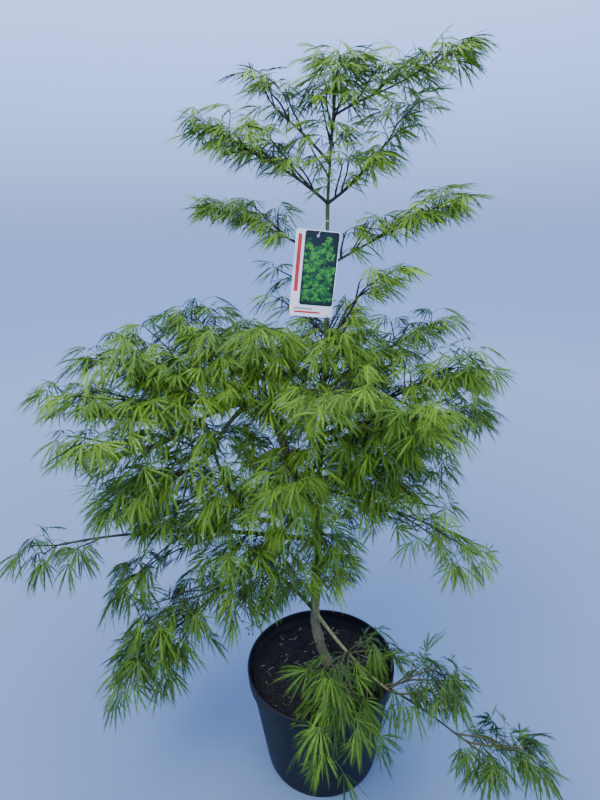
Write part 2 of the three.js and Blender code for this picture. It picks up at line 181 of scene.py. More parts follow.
@dataclass(frozen=True)
class Line:
    """A line in space, held as close points and walked by share of its length."""

    points: Array

    @property
    def travelled(self) -> Array:
        """The distance from the start to each of the points."""
        steps = np.linalg.norm(np.diff(self.points, axis=0), axis=1)
        return np.concatenate([[0.0], np.cumsum(steps)])

    @property
    def length(self) -> float:
        """The whole length in metres."""
        return float(self.travelled[-1])

    def at(self, share: float | Array) -> Array:
        """Finds the point or points at a share of the way along.

        Args:
            share: The share, or several, from 0 to 1.

        Returns:
            The point, or a row for each share.
        """
        travelled = self.travelled
        want = np.asarray(share, float) * travelled[-1]
        return np.stack([np.interp(want, travelled, axis) for axis in self.points.T], axis=-1)

    def heading(self, share: float | Array) -> Array:
        """The unit vector or vectors along the line at a share of the way, from 0 to 1."""
        ahead = np.minimum(np.asarray(share, float) + 0.01, 1.0)
        return unit(self.at(ahead) - self.at(ahead - 0.02))

    @staticmethod
    def steered(start: Array, early: Array, late: Array, end: Array) -> Line:
        """Draws a bow between two points.

        Args:
            start: Where it starts.
            early: The point that it leaves towards.
            late: The point that it arrives from.
            end: Where it ends.

        Returns:
            The bow.
        """
        t = np.linspace(0, 1, 60)[:, None]
        return Line(
            (1 - t) ** 3 * start
            + 3 * (1 - t) ** 2 * t * early
            + 3 * (1 - t) * t**2 * late
            + t**3 * end
        )

    @staticmethod
    def through(bends: Iterable[Point]) -> Line:
        """A smooth line through bends, without overshooting at the close ones.

        Args:
            bends: The bends in millimetres.

        Returns:
            The line, in metres.
        """
        knots = np.array(list(bends), float) * MM
        ends = (2 * knots[:1] - knots[1:2], knots, 2 * knots[-1:] - knots[-2:-1])
        padded = np.concatenate(ends)
        pieces = []
        for p0, p1, p2, p3 in zip(padded, padded[1:], padded[2:], padded[3:]):
            d0, d1, d2 = (
                math.sqrt(np.linalg.norm(b - a)) for a, b in ((p0, p1), (p1, p2), (p2, p3))
            )
            leave = ((p1 - p0) / d0 - (p2 - p0) / (d0 + d1) + (p2 - p1) / d1) * d1
            arrive = ((p2 - p1) / d1 - (p3 - p1) / (d1 + d2) + (p3 - p2) / d2) * d1
            t = np.linspace(0, 1, 24, endpoint=False)[:, None]
            pieces.append(
                p1
                + leave * t
                + (3 * (p2 - p1) - 2 * leave - arrive) * t**2
                + (2 * (p1 - p2) + leave + arrive) * t**3
            )
        return Line(np.concatenate(pieces + [knots[-1:]]))


def carried_frames(points: Array) -> tuple[Array, Array, Array]:
    """Axes carried along a row of points without twisting.

    Args:
        points: The points, shaped (n, 3).

    Returns:
        The heading and two axes square to it at each point.
    """
    headings = unit(np.gradient(points, axis=0))
    first = np.cross(headings[0], UP)
    if np.linalg.norm(first) < 0.1:
        first = np.cross(headings[0], np.array([1.0, 0.0, 0.0]))
    across = [unit(first)]
    for heading in headings[1:]:
        across.append(square_to(across[-1], heading))
    across = np.array(across)
    return headings, across, np.cross(headings, across)


# ---- Meshes ----


@dataclass
class Surface:
    """A growing mesh: its points, its faces and the finish each face takes."""

    points: list[Array] = field(default_factory=list)
    faces: list[Array] = field(default_factory=list)
    finishes: list[Array] = field(default_factory=list)
    count: int = 0

    def add(self, points: Array, faces: Array, finish: int | Array = 0) -> None:
        """Adds points and the faces on them.

        Args:
            points: The new points, shaped (n, 3).
            faces: Rows of three or four numbers counted from the first new point.
            finish: The material's place in the piece's list, for all or for each face.
        """
        self.points.append(points)
        self.faces.append(faces + self.count)
        self.finishes.append(np.broadcast_to(finish, len(faces)).astype(np.int32))
        self.count += len(points)

    def add_closed(self, rings: Array, ends: Array, finish: int = 0) -> None:
        """Adds a skin over rings of points and closes it at both ends.

        Args:
            rings: The rings, shaped (rings, sides, 3).
            ends: The middles of the first and the last ring.
            finish: The material's place in the piece's list.
        """
        count, sides = rings.shape[:2]
        here = np.arange(sides)
        after = (here + 1) % sides
        last, pole = (count - 1) * sides, count * sides
        foot = np.stack([after, here, np.full(sides, pole)], -1)
        tip = np.stack([last + here, last + after, np.full(sides, pole + 1)], -1)
        caps = np.concatenate([foot, tip]) + self.count
        self.add(np.concatenate([rings.reshape(-1, 3), ends]), skin_faces(count, sides), finish)
        self.faces.append(caps)
        self.finishes.append(np.full(len(caps), finish, np.int32))

    def piece(self, name: str, materials: list[Material], smooth: bool = True) -> Piece:
        """Makes the mesh and puts it in the scene.

        Args:
            name: The piece's name.
            materials: Its finishes.
            smooth: Whether its faces are shaded as one skin.

        Returns:
            The new object.
        """
        mesh = bpy.data.meshes.new(name)
        points = np.concatenate(self.points)
        mesh.vertices.add(len(points))
        mesh.vertices.foreach_set("co", points.astype(np.float32).ravel())
        corners = np.concatenate([f.ravel() for f in self.faces])
        sizes = np.concatenate([np.full(len(f), f.shape[1]) for f in self.faces])
        mesh.loops.add(len(corners))
        mesh.loops.foreach_set("vertex_index", corners.astype(np.int32))
        mesh.polygons.add(len(sizes))
        starts = np.concatenate([[0], np.cumsum(sizes)[:-1]])
        mesh.polygons.foreach_set("loop_start", starts.astype(np.int32))
        for material in materials:
            mesh.materials.append(material)
        mesh.polygons.foreach_set("material_index", np.concatenate(self.finishes))
        mesh.polygons.foreach_set("use_smooth", np.full(len(sizes), smooth))
        mesh.update(calc_edges=True)
        mesh.validate()
        obj = bpy.data.objects.new(name, mesh)
        bpy.context.scene.collection.objects.link(obj)
        return obj


def skin_faces(rings: int, sides: int) -> Array:
    """Joins rings of points by four-cornered faces.

    Args:
        rings: How many rings there are.
        sides: How many points each has.

    Returns:
        The faces, with their points counted from the first.
    """
    i, j = np.meshgrid(np.arange(rings - 1), np.arange(sides), indexing="ij")
    low, next_low = i * sides + j, i * sides + (j + 1) % sides
    return np.stack([low, next_low, next_low + sides, low + sides], -1).reshape(-1, 4)


def add_tube(surface: Surface, points: Array, radii: Array, sides: int, finish: int = 0) -> None:
    """Adds a closed round tube.

    Args:
        surface: The mesh it is added to.
        points: The middle line.
        radii: The radius at each point.
        sides: How many sides it has.
        finish: Its material's place in the piece's list.
    """
    _, across, over = carried_frames(points)
    around = spokes(across, over, full_turn(sides))
    rings = points[:, None] + around * np.asarray(radii)[:, None, None]
    surface.add_closed(rings, points[[0, -1]], finish)


def turned(profile: Iterable[Pair], sides: int) -> Surface:
    """A profile turned round the upright axis and closed on it.

    Args:
        profile: Radius and height pairs in millimetres, from the axis back to the axis.
        sides: How many sides the turning has.

    Returns:
        The closed mesh.
    """
    rows = np.array(list(profile), float) * MM
    first, middle, last = rows[0], rows[1:-1], rows[-1]
    turn = full_turn(sides)
    across, over = middle[:, :1] * np.cos(turn), middle[:, :1] * np.sin(turn)
    rings = np.stack([across, over, np.repeat(middle[:, 1:], sides, axis=1)], -1)
    surface = Surface()
    surface.add_closed(rings, np.array([[0, 0, first[1]], [0, 0, last[1]]]))
    return surface


# ---- Finishes ----


class Paint:
    """A material's nodes, built one at a time round a single Principled surface."""

    def __init__(self, name: str, colour: Colour, roughness: float, specular: float = 0.5) -> None:
        """Starts a material.

        Args:
            name: The material's name.
            colour: Its plain colour.
            roughness: Its plain roughness.
            specular: How strongly it mirrors light head-on.
        """
        self.material = bpy.data.materials.new(name)
        self.material.use_nodes = True
        self.material.diffuse_color = (*colour, 1.0)
        self.tree = self.material.node_tree
        self.shader = self.tree.nodes["Principled BSDF"]
        self.shader.inputs["Base Color"].default_value = (*colour, 1.0)
        self.shader.inputs["Roughness"].default_value = roughness
        self.shader.inputs["Specular IOR Level"].default_value = specular

    def node(self, kind: str, **values: object) -> bpy.types.Node:
        """Adds a node.

        Args:
            kind: The node's type.
            values: What its input sockets are set or joined to, by their names with _ for
                a space.

        Returns:
            The node.
        """
        node = self.tree.nodes.new(kind)
        for name, value in values.items():
            self.feed(node.inputs[name.replace("_", " ")], value)
        return node

    def feed(self, socket: Socket, value: object) -> None:
        """Joins a socket to another, or sets it.

        Args:
            socket: The input.
            value: An output socket, or a plain value.
        """
        if isinstance(value, Socket):
            self.tree.links.new(value, socket)
        else:
            socket.default_value = value

    def places(self, stretch: Point = (1.0, 1.0, 1.0)) -> Socket:
        """Where each spot is on the plant, stretched along the axes."""
        where = self.node("ShaderNodeTexCoord").outputs["Object"]
        return self.node("ShaderNodeMapping", Vector=where, Scale=stretch).outputs["Vector"]

    def noise(
        self, scale: float, stretch: Point = (1.0, 1.0, 1.0), detail: float = 4.0
    ) -> Socket:
        """Lays a cloudy pattern from 0 to 1 over the surface.

        Args:
            scale: How many lumps it has in a metre.
            stretch: What the places are multiplied by along each axis first.
            detail: How many finer layers it has.

        Returns:
            The pattern's value.
        """
        node = self.node(
            "ShaderNodeTexNoise", Vector=self.places(stretch), Scale=scale, Detail=detail
        )
        return node.outputs["Fac"]

    def between(
        self, share: Socket, low: float, high: float, first: object, second: object
    ) -> Socket:
        """A blend of two colours.

        Args:
            share: The pattern that mixes them.
            low: The pattern's strength where the first is whole.
            high: The strength where the second is whole.
            first: A colour or a colour output.
            second: A colour or a colour output.

        Returns:
            The colour.
        """
        ramp = self.node("ShaderNodeMapRange", Value=share, From_Min=low, From_Max=high)
        mix = self.tree.nodes.new("ShaderNodeMix")
        mix.data_type = "RGBA"
        self.feed(mix.inputs["Factor"], ramp.outputs["Result"])
        for socket, value in ((mix.inputs[6], first), (mix.inputs[7], second)):
            self.feed(socket, (*value, 1.0) if isinstance(value, tuple) else value)
        return mix.outputs[2]

    def roughen(self, share: Socket, low: float, high: float) -> None:
        """Lets a pattern vary the roughness from low to high."""
        ramp = self.node("ShaderNodeMapRange", Value=share, To_Min=low, To_Max=high)
        self.feed(self.shader.inputs["Roughness"], ramp.outputs["Result"])

    def colour(self, colour: Socket) -> None:
        """Gives the surface a colour output."""
        self.feed(self.shader.inputs["Base Color"], colour)

    def emboss(self, height: Socket, depth: float, strength: float = 1.0) -> None:
        """Gives the surface a fine relief.

        Args:
            height: The pattern that lifts it, from 0 to 1.
            depth: Its depth in millimetres.
            strength: The share of it that shows.
        """
        bump = self.node(
            "ShaderNodeBump", Height=height, Distance=depth * MM, Strength=strength
        )
        self.feed(self.shader.inputs["Normal"], bump.outputs["Normal"])


@dataclass(frozen=True)
class LeafTint:
    """One of the greens that the sprays of leaves are dealt."""

    name: str
    colour: Colour
    roughness: float = 0.5

    def dress(self) -> Material:
        """The leaf's plain material."""
        return Paint(self.name, self.colour, self.roughness, 0.16).material


@dataclass(frozen=True)
class BarkFinish:
    """Living bark: two colours in streaks along the limb, with pale flecks and a relief.

    grain is the streaks' fineness in lumps a metre, flecked the share of flecks and depth
    the relief in millimetres.
    """

    name: str
    ground: Colour
    streak: Colour
    fleck: Colour
    roughness: float
    grain: float
    flecked: float
    depth: float

    def dress(self) -> Material:
        """Mixes the bark from a ground colour, streaks and flecks.

        Returns:
            The material.
        """
        paint = Paint(self.name, self.ground, self.roughness, 0.3)
        broad = paint.noise(self.grain * 0.22, detail=3.0)
        streaks = paint.noise(self.grain, (1.0, 1.0, 0.2), 6.0)
        specks = paint.noise(self.grain * 4.2, (1.0, 1.0, 0.6), 2.0)
        mottled = paint.between(streaks, 0.38, 0.62, self.ground, self.streak)
        shaded = tuple(0.55 * c for c in self.ground)
        mottled = paint.between(broad, 0.42, 0.78, mottled, shaded)
        flecks_from = 0.78 - 0.2 * self.flecked
        paint.colour(paint.between(specks, flecks_from, flecks_from + 0.07, mottled, self.fleck))
        paint.roughen(streaks, self.roughness - 0.12, min(1.0, self.roughness + 0.12))
        paint.emboss(paint.noise(self.grain * 1.6, (1.0, 1.0, 0.35), 8.0), self.depth)
        return paint.material


@dataclass(frozen=True)
class PotPlasticFinish:
    """Black moulded plastic: dull and dusty in smears, with a fine grain."""

    name: str = "pot_plastic"
    black: Colour = (0.007, 0.007, 0.008)
    dusty: Colour = (0.020, 0.020, 0.020)

    def dress(self) -> Material:
        """Mixes the pot's plastic, with dusty smears and a fine grain.

        Returns:
            The material.
        """
        paint = Paint(self.name, self.black, 0.45, 0.2)
        smears = paint.noise(14.0, (1.0, 1.0, 0.45), 7.0)
        grain = paint.noise(900.0, detail=2.0)
        paint.colour(paint.between(smears, 0.52, 0.86, self.black, self.dusty))
        paint.roughen(smears, 0.34, 0.66)
        paint.emboss(grain, 0.06, 0.6)
        return paint.material


@dataclass(frozen=True)
class CompostFinish:
    """Moist compost: near-black peat with browner crumbs."""

    name: str = "potting_compost"
    wet: Colour = (0.004, 0.003, 0.002)
    dry: Colour = (0.020, 0.014, 0.009)

    def dress(self) -> Material:
        """Mixes the compost, with dry crumbs over wet ones.

        Returns:
            The material.
        """
        paint = Paint(self.name, self.wet, 0.95, 0.25)
        crumbs = paint.noise(190.0, detail=9.0)
        paint.colour(paint.between(crumbs, 0.48, 0.72, self.wet, self.dry))
        paint.roughen(paint.noise(60.0), 0.78, 1.0)
        paint.emboss(paint.noise(420.0, detail=9.0), 1.6)
        return paint.material


@dataclass(frozen=True)
class MatterFinish:
    """Small dry things in or on the compost, such as fibres and chips of bark."""

    name: str
    light: Colour
    dark: Colour
    roughness: float = 0.85

    def dress(self) -> Material:
        """Mixes the finish from its light and dark mottles.

        Returns:
            The material.
        """
        paint = Paint(self.name, self.light, self.roughness, 0.3)
        mottle = paint.noise(240.0, detail=5.0)
        paint.colour(paint.between(mottle, 0.35, 0.68, self.light, self.dark))
        paint.emboss(mottle, 0.3)
        return paint.material


@dataclass(frozen=True)
class PrintFinish:
    """Ink or bare face of the hang tag: smooth, with the faint mottle of printed card."""

    name: str
    colour: Colour
    roughness: float = 0.32

    def dress(self) -> Material:
        """Mixes the finish with faint mottles and uneven gloss.

        Returns:
            The material.
        """
        paint = Paint(self.name, self.colour, self.roughness, 0.5)
        mottle = paint.noise(1600.0, detail=2.0)
        darker = tuple(0.86 * c for c in self.colour)
        paint.colour(paint.between(mottle, 0.3, 0.75, self.colour, darker))
        paint.roughen(paint.noise(50.0), self.roughness - 0.06, self.roughness + 0.1)
        return paint.material


@dataclass(frozen=True)
class FloorFinish:
    """The pale studio floor, with painted light: it is painted lighter with distance, as the lit
    sweep of a curved backdrop looks.
    """

    name: str = "studio_floor"
    near: Colour = (0.138, 0.198, 0.275)
    far: Colour = (0.345, 0.416, 0.452)

    def dress(self) -> Material:
        """Mixes the floor, from its colour nearby to the one far away.

        Returns:
            The material.
        """
        paint = Paint(self.name, self.near, 0.7, 0.2)
        away = paint.node("ShaderNodeVectorMath", Vector=paint.places())
        away.operation = "LENGTH"
        soft = paint.noise(1.7, detail=3.0)
        near = paint.between(soft, 0.3, 0.8, self.near, tuple(0.94 * c for c in self.near))
        # Painted light: the floor lightens with distance from the plant, standing in for a lit
        # backdrop.
        paint.colour(paint.between(away.outputs["Value"], 0.5, 3.4, near, self.far))
        return paint.material


# Greens from dark to light. Which one a leaf is dealt follows its spray's light, which is partly
# the leaf's own tint and partly painted light and shade.
LEAF_TINTS = (
    LeafTint("leaf_deep_green", (0.022, 0.051, 0.005), 0.46),
    LeafTint("leaf_green", (0.041, 0.087, 0.006), 0.48),
    LeafTint("leaf_fresh_green", (0.067, 0.134, 0.008), 0.50),
    LeafTint("leaf_bright_green", (0.104, 0.191, 0.010), 0.52),
    LeafTint("leaf_lime_green", (0.155, 0.255, 0.012), 0.54),
    LeafTint("leaf_yellow_green", (0.220, 0.323, 0.016), 0.54),
)


class LimbTone(Enum):
    """The barks a limb can have, by age and place."""

    OLD = BarkFinish(
        "old_bark", (0.150, 0.140, 0.070), (0.092, 0.098, 0.038), (0.36, 0.34, 0.22),
        roughness=0.8, grain=160.0, flecked=0.9, depth=0.7,
    )
    GREEN = BarkFinish(
        "green_bark", (0.080, 0.105, 0.024), (0.045, 0.062, 0.018), (0.22, 0.22, 0.11),
        roughness=0.66, grain=190.0, flecked=0.6, depth=0.4,
    )
    DARK = BarkFinish(
        "dark_bark", (0.028, 0.026, 0.012), (0.042, 0.028, 0.018), (0.13, 0.11, 0.07),
        roughness=0.62, grain=220.0, flecked=0.45, depth=0.3,
    )
    PALE = BarkFinish(
        "pale_bark", (0.190, 0.205, 0.065), (0.120, 0.135, 0.045), (0.34, 0.32, 0.18),
        roughness=0.66, grain=210.0, flecked=0.5, depth=0.3,
    )


SHOOT_BARKS = tuple(
    BarkFinish(name, ground, streak, fleck, roughness, grain=260.0, flecked=0.3, depth=0.2)
    for name, ground, streak, fleck, roughness in (
        ("shoot_bark_dark", (0.020, 0.014, 0.010), (0.036, 0.018, 0.013), (0.10, 0.08, 0.05), 0.6),
        ("shoot_bark_green", (0.062, 0.078, 0.018), (0.070, 0.040, 0.020), (0.14, 0.13, 0.06), 0.6),
        ("shoot_bark_pale", (0.180, 0.180, 0.060), (0.130, 0.100, 0.050), (0.26, 0.24, 0.14), 0.62),
    )
)


# ---- The plant's plan ----


@dataclass(frozen=True)
class Look:
    """What the sprays of one part of the crown share.

    leaf is a leaf's length and gap the way between two pairs of buds, in millimetres. weep
    is how far leaves and shoots hang and light how light a green they are, from 0 to 1. light
    is partly the leaves' own tint and partly painted light and shade: lighter high in the
    crown, darker low and under it.
    bark is the shoots' place in SHOOT_BARKS.
    """

    title: str
    leaf: float
    weep: float
    light: float
    gap: float
    bark: int = 0


class Region(Enum):
    """The parts of the crown that are joined into one piece each, with how they grow."""

    # The fourth number, light, is partly the leaves' own green and partly painted light and shade:
    # lighter at the top, darker low and under the crown.
    TOP = Look("top", 53.0, 0.30, 0.60, 26.5)
    MIDDLE = Look("middle", 53.0, 0.34, 0.58, 21.0)
    CROWN = Look("crown", 54.0, 0.44, 0.50, 30.0)
    INNER = Look("inner_crown", 55.0, 0.54, 0.46, 31.0)
    LEFT = Look("left", 57.0, 0.46, 0.42, 24.0)
    RIGHT = Look("right", 56.0, 0.48, 0.45, 25.5)
    LOW_LEFT = Look("low_left", 66.0, 0.76, 0.23, 27.0)
    FRONT = Look("front", 65.0, 0.76, 0.17, 23.0, bark=1)


@dataclass(frozen=True)
class StemPlan:
    """A stem through given bends, in millimetres, with its radius at each end."""

    name: str
    bends: tuple[Point, ...]
    radii: Pair
    tone: LimbTone


@dataclass(frozen=True)
class BoughPlan:
    """A bough from a share of the way along its parent to its tip, in millimetres.

    arch is how far it bows upwards, and radii are those at its start and its tip.
    """

    name: str
    parent: str
    share: float
    tip: Point
    arch: float
    radii: Pair
    tone: LimbTone


@dataclass(frozen=True)
class SprayPlan:
    """A layer of shoots and leaves that grows on from a limb to its own tip, in millimetres.

    share is where along the limb it starts. What it leaves out it takes from its part of
    the crown, or for arch a tenth of its reach.
    """

    name: str
    limb: str
    tip: Point
    width: float
    region: Region
    share: float = 1.0
    arch: float | None = None
    leaf: float | None = None
    weep: float | None = None
    light: float | None = None


@dataclass(frozen=True)
class SideSprays:
    """Smaller sprays from one limb.

    Each row is a share of the way along the limb, a width and a tip, in millimetres.
    """

    limb: str
    region: Region
    rows: tuple[tuple[float, ...], ...]
    arch: float | None = None
    weep: float | None = None
    light: float | None = None

    def plans(self) -> list[SprayPlan]:
        """Turns the rows into plans.

        Returns:
            One plan for each row.
        """
        manner = {"arch": self.arch, "weep": self.weep, "light": self.light}
        return [
            SprayPlan(self.limb, self.limb, (x, y, z), width, self.region, share, **manner)
            for share, width, x, y, z in self.rows
        ]


@dataclass(frozen=True)
class SprigRow:
    """Short leafy shoots along a stretch of a limb, with the range of their reach.

    first and last are shares of the way along the limb, and reach is in millimetres.
    """

    limb: str
    first: float
    last: float
    count: int
    reach: Pair
    region: Region
    rise: float = 0.2
    light: float | None = None


TRUNK = StemPlan(
    "trunk",
    (
        (18, 19, 195), (-8, 25, 286), (-9, 40, 400), (-4, 50, 523), (-27, 45, 594),
        (-55, 38, 666), (-72, 31, 734), (-98, 25, 775), (-122, 20, 790),
    ),
    (10.0, 7.0),
    LimbTone.OLD,
)
LEADER = StemPlan(
    "leader",
    (
        (-4, 50, 523), (2, 62, 640), (12, 67, 800), (20, 68, 1000), (22, 68, 1130),
        (35, 66, 1285),
    ),
    (5.5, 2.0),
    LimbTone.GREEN,
)
CROSSING = StemPlan(
    "crossing",
    ((-96, 32, 541), (-132, 18, 560), (-170, 0, 640), (-184, -20, 719), (-192, -24, 768)),
    (3.6, 2.2),
    LimbTone.GREEN,
)
KNEE = StemPlan(
    "knee",
    ((-112, -19, 478), (-121, -24, 492), (-117, -22, 506), (-98, -20, 521), (-72, -20, 540)),
    (2.8, 1.6),
    LimbTone.GREEN,
)

GREEN, DARK, PALE = LimbTone.GREEN, LimbTone.DARK, LimbTone.PALE
BOUGHS = (
    BoughPlan("top_left", "leader", 0.79, (-72, 36, 1190), 6, (2.6, 1.6), DARK),
    BoughPlan("top_left_upper", "leader", 0.87, (-50, 88, 1262), 4, (2.4, 1.5), DARK),
    BoughPlan("top_right", "leader", 0.96, (93, 56, 1279), 2, (2, 1.5), DARK),
    BoughPlan("top_right_low", "leader", 0.79, (104, 104, 1198), -8, (2.6, 1.6), DARK),
    BoughPlan("mid_left", "leader", 0.66, (-75, 100, 1084), 4, (2.6, 1.6), DARK),
    BoughPlan("mid_right", "leader", 0.655, (120, 88, 1072), 2, (2.6, 1.6), DARK),
    BoughPlan("low_mid_right", "leader", 0.47, (69, 20, 971), -6, (2.8, 1.8), DARK),
    BoughPlan("right_upper", "leader", 0.36, (142, 110, 872), 4, (3.2, 2), DARK),
    BoughPlan("right_long", "leader", 0.27, (160, 52, 802), -2, (3.6, 2.2), DARK),
    BoughPlan("right_front", "leader", 0.24, (109, 0, 765), 10, (3.6, 2.2), DARK),
    BoughPlan("right_back", "leader", 0.22, (150, 125, 688), 12, (3.6, 2.2), DARK),
    BoughPlan("right_low", "leader", 0.1, (118, 20, 586), 4, (3.8, 2.2), GREEN),
    BoughPlan("left_long", "trunk", 1, (-262, 0, 798), 0, (5, 3), DARK),
    BoughPlan("left_front", "trunk", 1, (-240, -50, 754), 14, (4.4, 2.6), DARK),
    BoughPlan("left_drop", "trunk", 1, (-186, -20, 715), 12, (4.6, 3), GREEN),
    BoughPlan("low_left", "trunk", 0.47, (-440, -75, 556), 30, (5.2, 1.8), DARK),
    BoughPlan("hanging_left", "low_left", 0.14, (-224, -60, 406), 12, (3.8, 2.4), DARK),
    BoughPlan("inner_left", "trunk", 0.22, (-113, -20, 478), 16, (4.4, 2.6), DARK),
    BoughPlan("front_low", "trunk", 0.22, (130, -110, 278), -22, (3.8, 2.2), PALE),
    BoughPlan("front_trailing", "front_low", 0.9, (243, -160, 238), 8, (2, 1.6), DARK),
)

TOP, MIDDLE, CROWN, INNER, LEFT, RIGHT, LOW_LEFT, FRONT = Region
# A spray's light, where given, is painted shade for sprays at the back, inside or low in the crown,
# and painted light for the front hanging spray.
SPRAYS = (
    SprayPlan("top_tip", "leader", (52, 42, 1364), 90, TOP),
    SprayPlan("top_left", "top_left", (-212, -10, 1250), 112, TOP),
    SprayPlan("top_left_upper", "top_left_upper", (-108, 112, 1358), 96, TOP),
    SprayPlan("top_right", "top_right", (263, 14, 1330), 112, TOP),
    SprayPlan("top_right_low", "top_right_low", (206, 142, 1308), 126, TOP),
    SprayPlan("mid_left", "mid_left", (-246, 138, 1127), 84, MIDDLE),
    SprayPlan("mid_right", "mid_right", (288, 45, 1133), 84, MIDDLE),
    SprayPlan("low_mid_left", "leader", (-120, 118, 1022), 54, MIDDLE, share=0.58),
    SprayPlan("low_mid_right", "low_mid_right", (168, -40, 1025), 76, MIDDLE),
    SprayPlan("crown_left", "trunk", (-100, -10, 950), 150, CROWN, share=0.86),
    SprayPlan("crown_back", "leader", (0, 276, 872), 190, CROWN, share=0.4, light=0.35),
    SprayPlan("crown_front", "leader", (44, -190, 846), 150, INNER, share=0.33, leaf=46),
    SprayPlan("right_upper", "right_upper", (284, 150, 918), 96, RIGHT),
    SprayPlan("right_long", "right_long", (325, 10, 891), 126, RIGHT),
    SprayPlan("right_front", "right_front", (236, -96, 785), 134, RIGHT),
    SprayPlan("right_back", "right_back", (350, 200, 726), 136, RIGHT, light=0.35),
    SprayPlan("right_middle", "leader", (220, 70, 618), 120, RIGHT, share=0.13, light=0.3),
    SprayPlan("right_low", "right_low", (331, -60, 481), 84, RIGHT, weep=0.65),
    SprayPlan(
        "right_inner", "trunk", (66, -12, 446), 70, RIGHT, share=0.42, weep=0.6, light=0.35,
    ),
    SprayPlan("left_long", "left_long", (-488, -90, 819), 100, LEFT),
    SprayPlan("left_rising", "left_long", (-366, 22, 944), 96, LEFT, share=0.9),
    SprayPlan("left_back", "trunk", (-284, 150, 960), 130, LEFT, share=0.97),
    SprayPlan("left_front", "left_front", (-389, -176, 772), 116, LEFT),
    SprayPlan("left_drop", "left_drop", (-366, -110, 660), 136, LEFT),
    SprayPlan("low_left", "low_left", (-570, -100, 532), 88, LOW_LEFT),
    SprayPlan("low_left_inner", "low_left", (-196, -130, 514), 90, LOW_LEFT, share=0.3),
    SprayPlan("left_weeping", "low_left", (-420, -30, 382), 76, LOW_LEFT, share=0.38),
    SprayPlan("hanging_left", "hanging_left", (-392, -112, 287), 112, LOW_LEFT),
    SprayPlan("inner_left", "inner_left", (-160, -76, 400), 90, LOW_LEFT),
    SprayPlan("middle_front", "trunk", (-60, -180, 700), 136, INNER, share=0.62),
    SprayPlan("middle_back", "trunk", (20, 272, 560), 180, INNER, share=0.5, light=0.2),
    SprayPlan("front_low", "front_low", (282, -140, 336), 66, FRONT),
    SprayPlan("front_trailing", "front_trailing", (404, -205, 248), 80, FRONT),
    SprayPlan(
        "front_hanging", "front_low", (24, -236, 140), 80, FRONT,
        share=0.5, arch=130, leaf=72, weep=1.0, light=0.36,
    ),
    SprayPlan("front_right", "front_low", (182, -20, 260), 60, FRONT, share=0.5),
)
